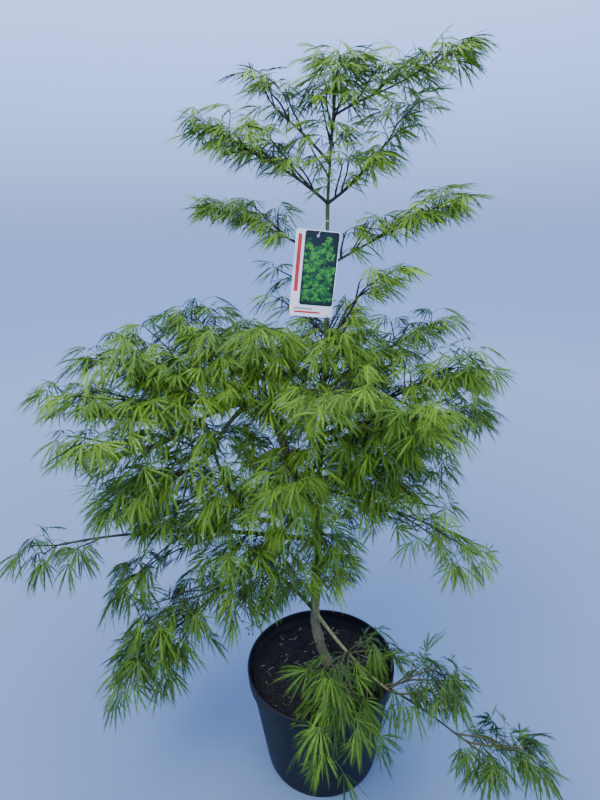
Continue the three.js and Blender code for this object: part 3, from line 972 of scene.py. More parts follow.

# A light given here is painted shade for side sprays further back and painted light for a low one
# in front.
SIDE_SPRAYS = (
    SideSprays("top_left_upper", TOP, ((0.61, 60, -72, 95, 1338), (1, 50, -80, 80, 1348))),
    SideSprays("leader", TOP, (
        (0.9, 54, -1, 40, 1316), (0.84, 56, -37, 30, 1243), (1, 60, 99, 50, 1340),
        (0.97, 40, 93, 20, 1276), (0.99, 60, 24, 90, 1352), (0.96, 60, 33, 90, 1381),
        (0.94, 60, 83, 20, 1338), (0.92, 60, 13, 30, 1344),
    )),
    SideSprays("top_left", TOP, (
        (0.63, 60, -186, -20, 1208), (0.28, 60, -141, 60, 1274), (0.76, 60, -139, 10, 1202),
        (0.51, 56, -90, 70, 1239), (0.25, 56, -50, 20, 1208), (1, 60, -184, 40, 1244),
    )),
    SideSprays("top_left", TOP, ((0.74, 60, -119, 60, 1213),), light=0.5),
    SideSprays("top_right_low", TOP, (
        (0.25, 70, 138, 30, 1194), (0.14, 50, 57, -5, 1207), (0.25, 60, 68, 60, 1226),
        (0.5, 60, 132, 40, 1204), (0.75, 56, 180, 110, 1256),
    )),
    SideSprays("top_right", TOP, (
        (0.5, 50, 151, 85, 1350), (0.99, 46, 176, 40, 1311), (0.99, 46, 194, 60, 1318),
    )),
    SideSprays("mid_left", MIDDLE, (
        (0.79, 44, -158, 115, 1147), (0.89, 30, -69, 110, 1134), (0.48, 36, -73, 60, 1075),
        (0.52, 44, -87, 40, 1070), (1, 50, -189, 80, 1130), (0.76, 46, -117, 110, 1112),
    )),
    SideSprays("mid_right", MIDDLE, (
        (0.4, 44, 122, 80, 1121), (0.24, 40, 52, 50, 1104), (0.91, 44, 256, 100, 1150),
        (0.5, 46, 126, 40, 1114), (0.24, 40, 61, 30, 1106), (0.74, 50, 215, 60, 1109),
    )),
    SideSprays("low_mid_right", MIDDLE, (
        (0.94, 30, 86, -10, 1031), (0.5, 46, 92, -20, 998), (0.26, 50, 63, 60, 965),
        (1, 46, 138, 0, 991),
    )),
    SideSprays("leader", MIDDLE, (
        (0.61, 44, -92, 125, 985), (0.5, 50, -121, 110, 976), (0.5, 44, -61, 100, 955),
        (0.5, 60, 74, 90, 982), (0.44, 60, 95, 70, 953),
    )),
    SideSprays("leader", CROWN, (
        (0.47, 80, 70, 60, 979), (0.36, 80, -26, 30, 944), (0.3, 70, 55, -10, 949),
        (0.36, 70, 52, 70, 925), (0.3, 120, 140, 160, 800),
    )),
    SideSprays("trunk", CROWN, (
        (1, 80, -157, 80, 955), (0.93, 80, -53, 60, 960), (1, 80, -241, 60, 949),
        (1, 90, -178, -40, 922), (0.93, 80, -92, -20, 936), (0.93, 70, -64, 30, 961),
        (0.9, 110, -180, 120, 880),
    )),
    SideSprays("trunk", INNER, ((0.3, 60, 29, -40, 407),), arch=40, light=0.6, weep=0.8),
    SideSprays("trunk", INNER, ((0.37, 60, -37, -50, 445), (0.44, 50, 60, 0, 451)), weep=0.7),
    SideSprays("trunk", INNER, (
        (0.93, 110, 62, -30, 815), (0.5, 60, 63, -40, 502), (0.5, 50, 67, -30, 455),
        (0.4, 50, 24, -60, 569),
    )),
    SideSprays("low_left", INNER, ((0.17, 90, -30, -70, 535),)),
    SideSprays("trunk", INNER, ((0.5, 90, -105, 90, 410),), light=0.25),
    SideSprays("trunk", INNER, ((0.5, 80, 51, 70, 354),), light=0.3),
    SideSprays("inner_left", INNER, ((0.51, 50, -32, -70, 447),)),
    SideSprays("knee", INNER, ((1, 90, -40, -70, 590), (0.6, 70, -130, -90, 530))),
    SideSprays("left_long", LEFT, (
        (0.5, 90, -447, -20, 875), (0.25, 90, -271, -40, 899), (0.5, 70, -352, 60, 947),
        (0.25, 80, -195, -10, 969), (0.68, 84, -372, 30, 846), (1, 70, -432, -50, 830),
        (0.6, 120, -330, 120, 820),
    )),
    SideSprays("left_drop", LEFT, ((0.99, 90, -410, -90, 587), (0.99, 80, -402, -80, 572))),
    SideSprays("crossing", LEFT, (
        (0.5, 90, -347, -60, 542), (0.76, 90, -343, -40, 742), (0.26, 90, -234, -90, 614),
        (0.26, 90, -360, -60, 561), (0.5, 60, -149, -90, 631), (0.5, 120, -300, 90, 600),
    )),
    SideSprays("crossing", LEFT, ((0.5, 90, -179, -80, 559),), weep=0.6),
    SideSprays("left_front", LEFT, ((0.75, 84, -369, -60, 801), (1, 60, -459, -120, 771))),
    SideSprays("right_long", RIGHT, (
        (0.75, 80, 319, 30, 821), (0.75, 76, 220, 0, 830), (1, 66, 306, 60, 823),
    )),
    SideSprays("right_back", RIGHT, (
        (0.74, 80, 360, 120, 725), (0.99, 66, 286, 90, 644), (0.49, 70, 266, 60, 577),
        (0.74, 70, 284, 100, 600),
    )),
    SideSprays("right_upper", RIGHT, (
        (0.74, 60, 243, 90, 901), (0.5, 76, 184, 60, 872), (0.25, 60, 132, 50, 903),
    )),
    SideSprays("right_low", RIGHT, (
        (0.74, 70, 230, 0, 610), (0.99, 60, 278, -30, 583), (0.49, 60, 107, -10, 564),
        (0.99, 60, 292, -40, 460), (0.49, 70, 193, 30, 567),
    )),
    SideSprays("trunk", RIGHT, ((0.5, 50, 68, 20, 487),), weep=0.6),
    SideSprays("leader", RIGHT, ((0.1, 90, 122, 0, 693), (0.25, 110, 226, 60, 735))),
    SideSprays("leader", RIGHT, ((0.15, 110, 212, 40, 667),), light=0.35),
    SideSprays("right_front", RIGHT, ((0.75, 90, 207, -60, 699), (0.99, 60, 229, -40, 734))),
    SideSprays("right_low", RIGHT, ((0.49, 80, 181, 40, 650),), light=0.35),
    SideSprays("inner_left", LOW_LEFT, ((0.76, 60, -120, -60, 414), (0.76, 56, -125, -70, 431))),
    SideSprays("low_left", LOW_LEFT, (
        (0.25, 64, -156, -60, 510), (0.13, 64, -52, -80, 472), (1, 60, -525, -110, 502),
        (0.9, 56, -470, -100, 505), (0.55, 66, -413, -70, 375),
    )),
    SideSprays("hanging_left", LOW_LEFT, (
        (0.99, 70, -313, -100, 364), (0.99, 70, -280, -110, 319), (0.99, 76, -407, -130, 237),
        (0.75, 70, -326, -110, 219), (0.99, 60, -420, -120, 179), (0.5, 50, -238, -30, 428),
        (0.75, 56, -372, -90, 380),
    )),
    SideSprays("front_low", FRONT, ((0.99, 56, 239, -110, 352),), weep=0.45),
    SideSprays("front_low", FRONT, ((0.74, 50, 85, -222, 181),), arch=60, weep=0.8),
    SideSprays("front_low", FRONT, ((0.99, 50, 279, -150, 376),)),
    SideSprays("front_low", FRONT, ((0.5, 50, 58, -200, 243), (0.5, 56, 49, -232, 234)), arch=60),
    SideSprays("front_trailing", FRONT, ((0.99, 60, 418, -200, 189), (0.99, 50, 331, -190, 160))),
    SideSprays("left_front", LEFT, ((0.39, 70, -372, -60, 871), (0.39, 70, -345, -110, 785))),
    SideSprays("left_long", LEFT, ((0.86, 70, -277, -20, 907),)),
    SideSprays("trunk", CROWN, ((0.96, 70, -117, 40, 961),)),
    SideSprays("top_left_upper", TOP, ((0.88, 46, -108, 110, 1338),)),
    SideSprays("leader", TOP, ((1, 44, 60, 40, 1349),)),
    SideSprays("mid_right", MIDDLE, ((1, 44, 275, 60, 1110),)),
    SideSprays("right_upper", RIGHT, ((1, 56, 225, 110, 916),)),
    SideSprays("right_long", RIGHT, ((1, 60, 151, 20, 864), (1, 60, 323, 10, 820))),
    SideSprays("right_low", RIGHT, ((0.52, 60, 223, 20, 607), (0.52, 60, 189, -10, 521))),
    SideSprays("trunk", INNER, ((0.54, 60, 27, -60, 544),)),
    SideSprays("inner_left", LOW_LEFT, ((0.86, 50, -54, -70, 460),)),
    SideSprays("hanging_left", LOW_LEFT, ((0.65, 50, -258, -40, 393), (0.75, 60, -377, -110, 343))),
    SideSprays("front_low", FRONT, (
        (0.93, 50, 300, -150, 318), (0.49, 50, 138, -60, 346), (0.51, 56, -15, -220, 367),
    )),
    SideSprays("front_trailing", FRONT, ((1, 50, 410, -205, 236),)),
)

# A light given here is painted shade: these sprigs sit at the back or low in the crown.
SPRIGS = (
    SprigRow("trunk", 0.56, 0.8, 9, (90, 160), CROWN),
    SprigRow("trunk", 0.86, 1.0, 6, (90, 160), CROWN, rise=0.8),
    SprigRow("leader", 0.1, 0.46, 20, (90, 180), INNER),
    SprigRow("leader", 0.9, 0.98, 4, (40, 75), TOP, rise=0.7),
    SprigRow("left_long", 0.4, 0.95, 3, (70, 130), LEFT),
    SprigRow("left_front", 0.5, 1.0, 3, (70, 130), LEFT),
    SprigRow("left_drop", 0.5, 1.0, 4, (70, 120), LEFT, light=0.35),
    SprigRow("right_upper", 0.3, 1.0, 5, (60, 110), RIGHT),
    SprigRow("right_long", 0.3, 1.0, 6, (70, 120), RIGHT),
    SprigRow("right_front", 0.3, 1.0, 6, (70, 120), RIGHT),
    SprigRow("right_back", 0.3, 1.0, 5, (70, 120), RIGHT, light=0.3),
    SprigRow("right_low", 0.3, 1.0, 4, (60, 100), RIGHT, light=0.35),
    SprigRow("low_left", 0.12, 0.95, 7, (60, 120), LOW_LEFT),
    SprigRow("hanging_left", 0.3, 1.0, 5, (60, 110), LOW_LEFT),
    SprigRow("crossing", 0.1, 1.0, 8, (60, 120), LEFT),
)


# ---- Growth ----


@dataclass
class Shoot:
    """A young shoot: its middle line, its radii and its bark."""

    points: Array
    radii: Array
    region: Region
    bark: int


@dataclass
class LeafSeat:
    """Where one leaf is held, which way it points and faces, its size and its tint."""

    foot: Array
    stalk: Array
    blade: Array
    face: Array
    size: float
    hang: float
    tint: int
    region: Region


@dataclass
class Habit:
    """How the shoots and leaves of one spray or sprig grow.

    What it leaves out it takes from its part of the crown. bare is the share of the spray's
    line without leaves near the limb, fork_angle is in degrees, and side_leaf is the size of
    the leaves along a shoot beside those at its tip.
    """

    region: Region
    leaf: float | None = None
    weep: float | None = None
    light: float | None = None
    bare: float = 0.0
    fork_angle: float = 48.0
    side_leaf: float = 0.9

    def __post_init__(self) -> None:
        """Takes what isn't given from the look of its part of the crown."""
        for part in ("leaf", "weep", "light"):
            if getattr(self, part) is None:
                setattr(self, part, getattr(self.region.value, part))

    @property
    def internode(self) -> float:
        """The usual gap between two pairs of buds, in metres."""
        return self.region.value.gap * MM

    def weeping(self, upright: float, more: float) -> float:
        """A measure of an upright spray, with what full weeping would add to it."""
        return upright + more * self.weep


@dataclass
class Grower:
    """Grows shoots and leaves on from the limbs by a seeded branching rule.

    A maple's buds sit in opposite pairs, which twist round on a lying shoot until they face
    its two sides. A pair becomes two side shoots or two leaves, and a shoot ends in a tuft
    of leaves.

    Radii, steps and sways are in millimetres and fork spreads in degrees, and chances run
    from 0 to 1. The first four pairs are a measure on an upright spray and what full weeping
    adds. The other pairs are the least and the most, as shares of the usual.
    """

    stalk_rise: Pair = (0.5, -0.6)
    blade_fall: Pair = (-0.1, 0.9)
    lobe_hang: Pair = (0.4, 0.85)
    shoot_droop: Pair = (0.005, 0.035)
    leaf_sizes: Pair = (0.82, 1.14)
    leaf_hangs: Pair = (0.6, 1.3)
    side_gaps: Pair = (0.85, 1.25)
    main_gaps: Pair = (0.85, 1.2)
    fork_reaches: Pair = (0.45, 0.75)
    side_reaches: Pair = (0.75, 1.2)
    stalk_forward: float = 0.5
    blade_forward: float = 0.55
    sideways: float = 0.8
    stalk_spread: float = 0.12
    blade_spread: float = 0.22
    fall_spread: float = 0.25
    face_spread: float = 0.5
    tint_spread: float = 0.55
    third_leaf_chance: float = 0.6
    third_leaf_lean: float = 0.4
    third_leaf_size: float = 0.9
    tilt: float = 0.5
    step: float = 9.0
    wander: float = 0.05
    finest: float = 0.55
    fork_thinning: float = 0.72
    side_fork_spread: float = 7.0
    main_fork_spread: float = 8.0
    fork_chance: float = 0.55
    fork_shoot_chance: float = 0.8
    side_leaf_chance: float = 0.92
    main_shoot_chance: float = 0.9
    main_leaf_chance: float = 0.7
    sway: float = 2.2
    sway_length: float = 90.0
    tip_radius: float = 1.1
    side_radii: Pair = (0.9, 1.6)
    habit: Habit = field(default_factory=lambda: Habit(TOP))
    shoots: list[Shoot] = field(default_factory=list)
    leaves: list[LeafSeat] = field(default_factory=list)
    rng: np.random.Generator = field(default_factory=chance)

    def reseed(self, number: int) -> None:
        """Starts a spray off from its own number, so that no spray changes another."""
        self.rng = chance(number)

    def hold_leaf(self, foot: Array, heading: Array, out: Array, scale: float) -> None:
        """Hangs a leaf on a shoot.

        Args:
            foot: Where its stalk leaves the shoot.
            heading: Which way the shoot runs there.
            out: Which side the leaf is on.
            scale: Its size beside the spray's usual leaf.
        """
        rng, habit = self.rng, self.habit
        rise = max(0.05, habit.weeping(*self.stalk_rise))
        aside = self.sideways * out
        stalk = self.stalk_forward * heading + aside + rise * UP
        stalk = unit(stalk + rng.normal(0, self.stalk_spread, 3))
        flat = self.blade_forward * heading + aside + rng.normal(0, self.blade_spread, 3)
        fall = rng.normal(habit.weeping(*self.blade_fall), self.fall_spread)
        blade = unit(unit(unit(flat) * LEVEL + [1e-3, 0, 0]) + DOWN * fall)
        face = square_to(UP + rng.normal(0, self.face_spread, 3) * [1, 1, 0.3], blade)
        lightest = len(LEAF_TINTS) - 1
        # The green follows the spray's light, which holds painted light and shade as well as the
        # leaf's own tint, with a random spread.
        tint = habit.light * lightest + rng.normal(0, self.tint_spread)
        size = habit.leaf * MM * scale * rng.uniform(*self.leaf_sizes)
        hang = rng.uniform(*self.leaf_hangs) * habit.weeping(*self.lobe_hang)
        tint = int(np.clip(round(tint), 0, lightest))
        self.leaves.append(LeafSeat(foot, stalk, blade, face, size, hang, tint, habit.region))

    def tuft(self, tip: Array, heading: Array, side: Array, scale: float) -> None:
        """Ends a shoot in leaves.

        Args:
            tip: The shoot's tip.
            heading: Which way it runs there.
            side: A way square to it.
            scale: The leaves' size beside the spray's usual leaf.
        """
        for sign in BOTH_SIDES:
            self.hold_leaf(tip, heading, sign * side, scale)
        if self.rng.random() < self.third_leaf_chance:
            out = self.third_leaf_lean * self.rng.choice(BOTH_SIDES) * side
            self.hold_leaf(tip, heading, out, self.third_leaf_size * scale)

    def add_shoot(self, points: Array, radii: Array) -> None:
        """Keeps a shoot's line and radii for its part of the crown."""
        region = self.habit.region
        self.shoots.append(Shoot(points, radii, region, region.value.bark))

    def set_off(self, way: Array, out: Array, spread: float) -> Array:
        """Which way a shoot sets off from its parent, with a spread of angles in degrees."""
        angle = math.radians(self.rng.normal(self.habit.fork_angle, spread))
        return math.cos(angle) * way + math.sin(angle) * out

    def side_line(self, start: Array, heading: Array, reach: float) -> Array:
        """The wandering, drooping line of a side shoot.

        Args:
            start: Where it leaves its parent.
            heading: Which way it sets off.
            reach: Its length in metres.

        Returns:
            Its points, and the way it runs at each, shaped (2, n, 3).
        """
        rng = self.rng
        steps = max(3, int(round(reach / (self.step * MM))))
        droop = self.habit.weeping(*self.shoot_droop) * DOWN
        bow = rng.normal(0, self.wander, 3)
        points, ways = [start], [heading]
        for _ in range(steps):
            ways.append(unit(ways[-1] + droop + bow + rng.normal(0, self.wander, 3)))
            points.append(points[-1] + reach / steps * ways[-1])
        return np.array([points, ways])

    def side_shoot(
        self, start: Array, heading: Array, reach: float, radius: float, depth: int = 0
    ) -> None:
        """Grows one side shoot with its leaves, and shorter ones from it.

        Args:
            start: Where it leaves its parent.
            heading: Which way it sets off.
            reach: Its length in metres.
            radius: Its radius where it starts.
            depth: How many forks it is from the spray's own line.
        """
        rng, internode = self.rng, self.habit.internode
        line, ways = self.side_line(start, heading, reach)
        steps = len(line) - 1
        radii = np.linspace(radius, max(0.6 * radius, self.finest * MM), steps + 1)
        self.add_shoot(line, radii)
        side = square_to(np.cross(ways[0], UP), ways[0])
        reached = max(0.7 * internode * rng.uniform(0.7, 1.1), 0.3 * reach)
        while reached < reach - 0.4 * internode:
            index = min(int(reached / (reach / steps)), steps)
            here, way = line[index], ways[index]
            turn = rng.normal(0, self.tilt)
            level = square_to(side, way)
            out = math.cos(turn) * level + math.sin(turn) * np.cross(way, level)
            left = reach - reached
            forks = depth < 1 and left > internode and rng.random() < self.fork_chance
            for sign in BOTH_SIDES:
                if forks and rng.random() < self.fork_shoot_chance:
                    away = unit(self.set_off(way, sign * out, self.side_fork_spread))
                    further = left * rng.uniform(*self.fork_reaches)
                    self.side_shoot(here, away, further, self.fork_thinning * radius, depth + 1)
                elif rng.random() < self.side_leaf_chance:
                    self.hold_leaf(here, way, sign * out, self.habit.side_leaf)
            reached += internode * rng.uniform(*self.side_gaps)
        self.tuft(line[-1], ways[-1], square_to(side, ways[-1]), 1.0)

    def spray(self, line: Line, width: float, radius: float, habit: Habit) -> None:
        """Grows a whole spray along a line.

        Args:
            line: The spray's own line, from its limb to its outermost leaf.
            width: How wide the spray is, in metres.
            radius: The shoot's radius where it starts.
            habit: How it grows.
        """
        rng, internode = self.rng, habit.internode
        self.habit = habit
        held_back = min(1.05 * habit.leaf * MM, 0.45 * line.length)
        end = max(0.4, 1 - held_back / line.length)
        shares = np.linspace(0, end, max(8, int(line.length / (self.step * MM))))
        points = line.at(shares)
        lump = self.sway_length * MM
        sway = np.stack([waves(points, lump, int(rng.integers(1e6))) for _ in range(3)], -1)
        points = points + sway * self.sway * MM * np.sin(np.pi * shares / end)[:, None]
        radii = radius + (self.tip_radius * MM - radius) * (shares / end) ** 0.8
        self.add_shoot(points, radii)
        reach = line.length * end
        reached = max(0.35 * internode, habit.bare * reach)
        while reached < reach - 0.5 * internode:
            turn = rng.normal(0, self.tilt)
            share = reached / line.length
            here, way = line.at(share), line.heading(share)
            here = points[int(np.argmin(np.linalg.norm(points - here, axis=1)))]
            side = square_to(np.cross(way, UP), way)
            out = math.cos(turn) * side + math.sin(turn) * np.cross(side, way)
            swell = math.sqrt(max(0.0, math.sin(math.pi * share**0.75))) + 0.12 * share
            flat = 0.45 + 0.55 * abs(math.cos(turn))
            thick = 0.7 * float(np.interp(reached, [0, reach], [radii[0], radii[-1]]))
            thick = float(np.clip(thick, *(bound * MM for bound in self.side_radii)))
            for sign in BOTH_SIDES:
                length = 0.58 * width * swell * rng.uniform(*self.side_reaches)
                length = length * flat - 0.3 * habit.leaf * MM
                if length > 0.7 * internode and rng.random() < self.main_shoot_chance:
                    away = self.set_off(way, sign * out, self.main_fork_spread)
                    away = unit(away + rng.normal(0.14, 0.1) * UP)
                    self.side_shoot(here, away, length, thick)
                elif rng.random() < self.main_leaf_chance:
                    self.hold_leaf(here, way, sign * out, habit.side_leaf)
            reached += internode * rng.uniform(*self.main_gaps)
        way = unit(points[-1] - points[-3])
        side = square_to(np.cross(way, UP), way)
        self.tuft(points[-1], way, side, 1.05)
        for sign in BOTH_SIDES:
            self.hold_leaf(points[-2], way, unit(sign * side + rng.normal(0, 0.5, 3)), 0.95)


# ---- Leaves ----


@dataclass(frozen=True)
class LeafCut:
    """The outline of a laceleaf: narrow toothed lobes that fan from the stalk's end.

    Angles are in degrees. Lengths are shares of the middle lobe, and widths and teeth are
    shares of a lobe's own length. Pairs are the least and the most, as shares of the usual.
    """

    angles: tuple[float, ...] = (0, 19, -19, 39, -39, 62, -62)
    lengths: tuple[float, ...] = (1.0, 0.96, 0.96, 0.84, 0.84, 0.58, 0.58)
    widths: tuple[float, ...] = (0.007, 0.017, 0.022, 0.018, 0.010)
    teeth: tuple[float, ...] = (0.042, 0.050, 0.038)
    tooth_root: float = 0.5
    stalk: float = 0.36
    stalk_radius: float = 0.5 * MM
    stalk_sizes: Pair = (0.8, 1.25)
    lobe_sizes: Pair = (0.85, 1.1)
    tooth_sizes: Pair = (0.6, 1.3)
    fan_spread: float = 4.5
    twist: float = 0.5
    wander: float = 0.16

    def template(self) -> Array:
        """The triangles of one lobe, counted from its first point.

        Returns:
            Rows of three. Points run in pairs up both edges, then the tip, then each
            tooth's two roots and two points.
        """
        steps = len(self.widths)
        faces: list[tuple[int, int, int]] = []
        for i in range(steps - 1):
            a, b, c, d = 2 * i, 2 * i + 1, 2 * i + 3, 2 * i + 2
            faces += [(a, b, c), (a, c, d)]
        tip = 2 * steps
        faces.append((tip - 2, tip - 1, tip))
        for i in range(len(self.teeth)):
            low, root = 2 * (i + 1), tip + 1 + 4 * i
            faces.append((low, root, root + 2))
            faces.append((root + 1, low + 1, root + 3))
        return np.array(faces)

    def grow(self, seats: list[LeafSeat], seed: int) -> tuple[Array, Array]:
        """Shapes the lobes of many leaves at once.

        Args:
            seats: The leaves.
            seed: The number that their unevenness starts from.

        Returns:
            The lobes' points, shaped (leaves, lobes, points, 3), and the stalks' middle
            lines, shaped (leaves, 3, 3).
        """
        rng = chance(seed)
        foot, leave, blade, face, size, hang = (
            np.array([getattr(seat, part) for seat in seats])
            for part in ("foot", "stalk", "blade", "face", "size", "hang")
        )
        size, hang = size[:, None], hang[:, None]
        half = 0.5 * self.stalk * size * rng.uniform(*self.stalk_sizes, size.shape)
        knee = foot + leave * half
        end = knee + unit(0.7 * leave + 0.5 * blade) * half
        stalks = np.stack([foot, knee, end], 1)
        steps = len(self.widths)
        each = (len(seats), len(self.angles), 1)
        angle = np.radians(np.array(self.angles)[:, None] + rng.normal(0, self.fan_spread, each))
        across = np.cross(face, blade)
        leaving = np.cos(angle) * blade[:, None] + np.sin(angle) * across[:, None]
        length = (size * np.array(self.lengths))[..., None] * rng.uniform(*self.lobe_sizes, each)
        flat = unit(np.cross(np.broadcast_to(face[:, None], leaving.shape), leaving))
        twist = rng.normal(0, self.twist, each)
        wander = rng.normal(0, self.wander, (*each[:2], 3))
        centre = np.broadcast_to(end[:, None], leaving.shape).copy()
        edges, teeth = [], []
        for i in range(steps):
            share = (i + 0.5) / steps
            way = unit(leaving + (hang[:, None] * DOWN + wander) * share)
            wide = square_to(flat, way)
            wide = wide * np.cos(twist) + np.cross(way, wide) * np.sin(twist)
            half_width = wide * self.widths[i] * length
            edges += [centre + half_width, centre - half_width]
            centre = centre + way * length / steps
            if 1 <= i <= len(self.teeth):
                proud = wide * self.teeth[i - 1] * rng.uniform(*self.tooth_sizes, each) * length
                root = centre - way * length * (1 - self.tooth_root) / steps
                point = root + way * length / steps
                teeth += [root + half_width, root - half_width]
                teeth += [point + half_width + proud, point - half_width - proud]
        return np.stack(edges + [centre] + teeth, 2), stalks

    def cut(
        self,
        seats: list[LeafSeat],
        seed: int,
        settle: Callable[[Array, Array], Array],
        allowed: Callable[[Array], Array],
    ) -> Surface:
        """Builds the leaves' mesh.

        Args:
            seats: The leaves.
            seed: The number that their unevenness starts from.
            settle: Moves points that would be in the pot or the ground, given the leaves'
                feet.
            allowed: Says of each leaf's points whether the leaf has room.

        Returns:
            The mesh, whose finishes are the leaves' tints.
        """
        surface = Surface()
        lobes, stalks = self.grow(seats, seed)
        _, per_leaf, per_lobe, _ = lobes.shape
        points = settle(lobes.reshape(len(seats), -1, 3), stalks[:, 0])
        keep = allowed(points)
        points, stalks = points[keep], stalks[keep]
        tints = np.array([seat.tint for seat in seats])[keep]
        pattern = self.template()
        starts = per_lobe * np.arange(len(points) * per_leaf)
        faces = pattern + starts[:, None, None]
        tint = np.repeat(tints, per_leaf * len(pattern))
        surface.add(points.reshape(-1, 3), faces.reshape(-1, 3), tint)
        self.add_stalks(surface, stalks, tints)
        return surface

    def add_stalks(self, surface: Surface, stalks: Array, tints: Array) -> None:
        """Adds the leaves' three-sided stalks.

        Args:
            surface: The mesh they are added to.
            stalks: Their middle lines, shaped (leaves, 3, 3).
            tints: The leaves' tints.
        """
        way = unit(stalks[:, 2] - stalks[:, 0])
        side = square_to(np.cross(way, UP) + [1e-4, 0, 0], way)
        over = np.cross(way, side)
        around = spokes(side, over, np.radians([0, 120, 240]))
        thick = self.stalk_radius * np.array([1.2, 1.0, 0.8])
        rings = stalks[:, :, None] + around[:, None] * thick[:, None, None]
        base = skin_faces(3, 3)
        faces = base + 9 * np.arange(len(stalks))[:, None, None]
        surface.add(rings.reshape(-1, 3), faces.reshape(-1, 4), np.repeat(tints, len(base)))


# ---- Limbs ----


@dataclass
class Limb:
    """A stem or bough: its line, its radius at each end and its bark.

    collar is how much thicker it starts and flare how far its roots swell, in millimetres.
    Each lump is its size in millimetres, how much it is stretched upwards and its share of
    the relief.
    """

    name: str
    line: Line
    radii: Pair
    tone: LimbTone
    collar: float = 0.0
    sides: int = 14
    flare: float = 0.0
    relief: float = 0.12
    lumps: tuple[tuple[float, float, float], ...] = (
        (10.0, 0.35, 1.0), (4.0, 0.5, 0.6), (50.0, 1.0, 2.2),
    )
    ring_gap: float = 2.5
    flare_height: float = 45.0
    bud_gaps: Pair = (24, 46)
    bud_swell: float = 0.11

    def radius(self, share: float | Array) -> Array:
        """The plain radius or radii in metres at a share of the way along."""
        share = np.asarray(share, float)
        return (self.radii[0] + (self.radii[1] - self.radii[0]) * share) * MM

    def add_skin(self, surface: Surface, finish: int, seed: int) -> None:
        """Adds the limb's bark to a mesh.

        Args:
            surface: The mesh.
            finish: The bark's place in the piece's list.
            seed: The number that its unevenness starts from.
        """
        spacing = max(self.ring_gap * MM, 0.7 * self.radii[1] * MM)
        rings = max(12, int(self.line.length / spacing))
        shares = np.linspace(0, 1, rings)
        middle = self.line.at(shares)
        away = shares * self.line.length
        turn = full_turn(self.sides)
        around = spokes(*carried_frames(middle)[1:], turn)
        radii = self.radius(shares) * (1 + self.bud_rings(away, seed))
        radii = radii + self.collar * MM * np.exp(-away / (self.radii[0] * 1.6 * MM))
        thick = np.repeat(radii[:, None], self.sides, axis=1)
        if self.flare:
            ridges = 1 + 0.35 * np.cos(3 * turn + 0.8) + 0.15 * np.cos(5 * turn + 2.0)
            swell = self.flare * MM * np.exp(-3 * away / (self.flare_height * MM))
            thick = thick + swell[:, None] * ridges
        places = (middle[:, None] + around * thick[..., None]).reshape(-1, 3)
        rough = sum(
            share * waves(places * [1, 1, stretch], size * MM, seed + number)
            for number, (size, stretch, share) in enumerate(self.lumps)
        )
        shift = self.relief * rough * MM * self.radii[0] / 8
        places = places + around.reshape(-1, 3) * shift[:, None]
        surface.add_closed(places.reshape(rings, self.sides, 3), middle[[0, -1]], finish)

    def bud_rings(self, away: Array, seed: int) -> Array:
        """The slight swellings where each season's buds sat.

        Args:
            away: The distance of each ring from the limb's start.
            seed: The number that their places start from.

        Returns:
            How much thicker each ring is, as a share.
        """
        spots = np.cumsum(chance(seed, Draw.BUD_RINGS).uniform(*self.bud_gaps, 60)) * MM
        width = 0.45 * self.radii[0] * MM
        return self.bud_swell * np.exp(-(((away[:, None] - spots) / width) ** 2)).sum(1)


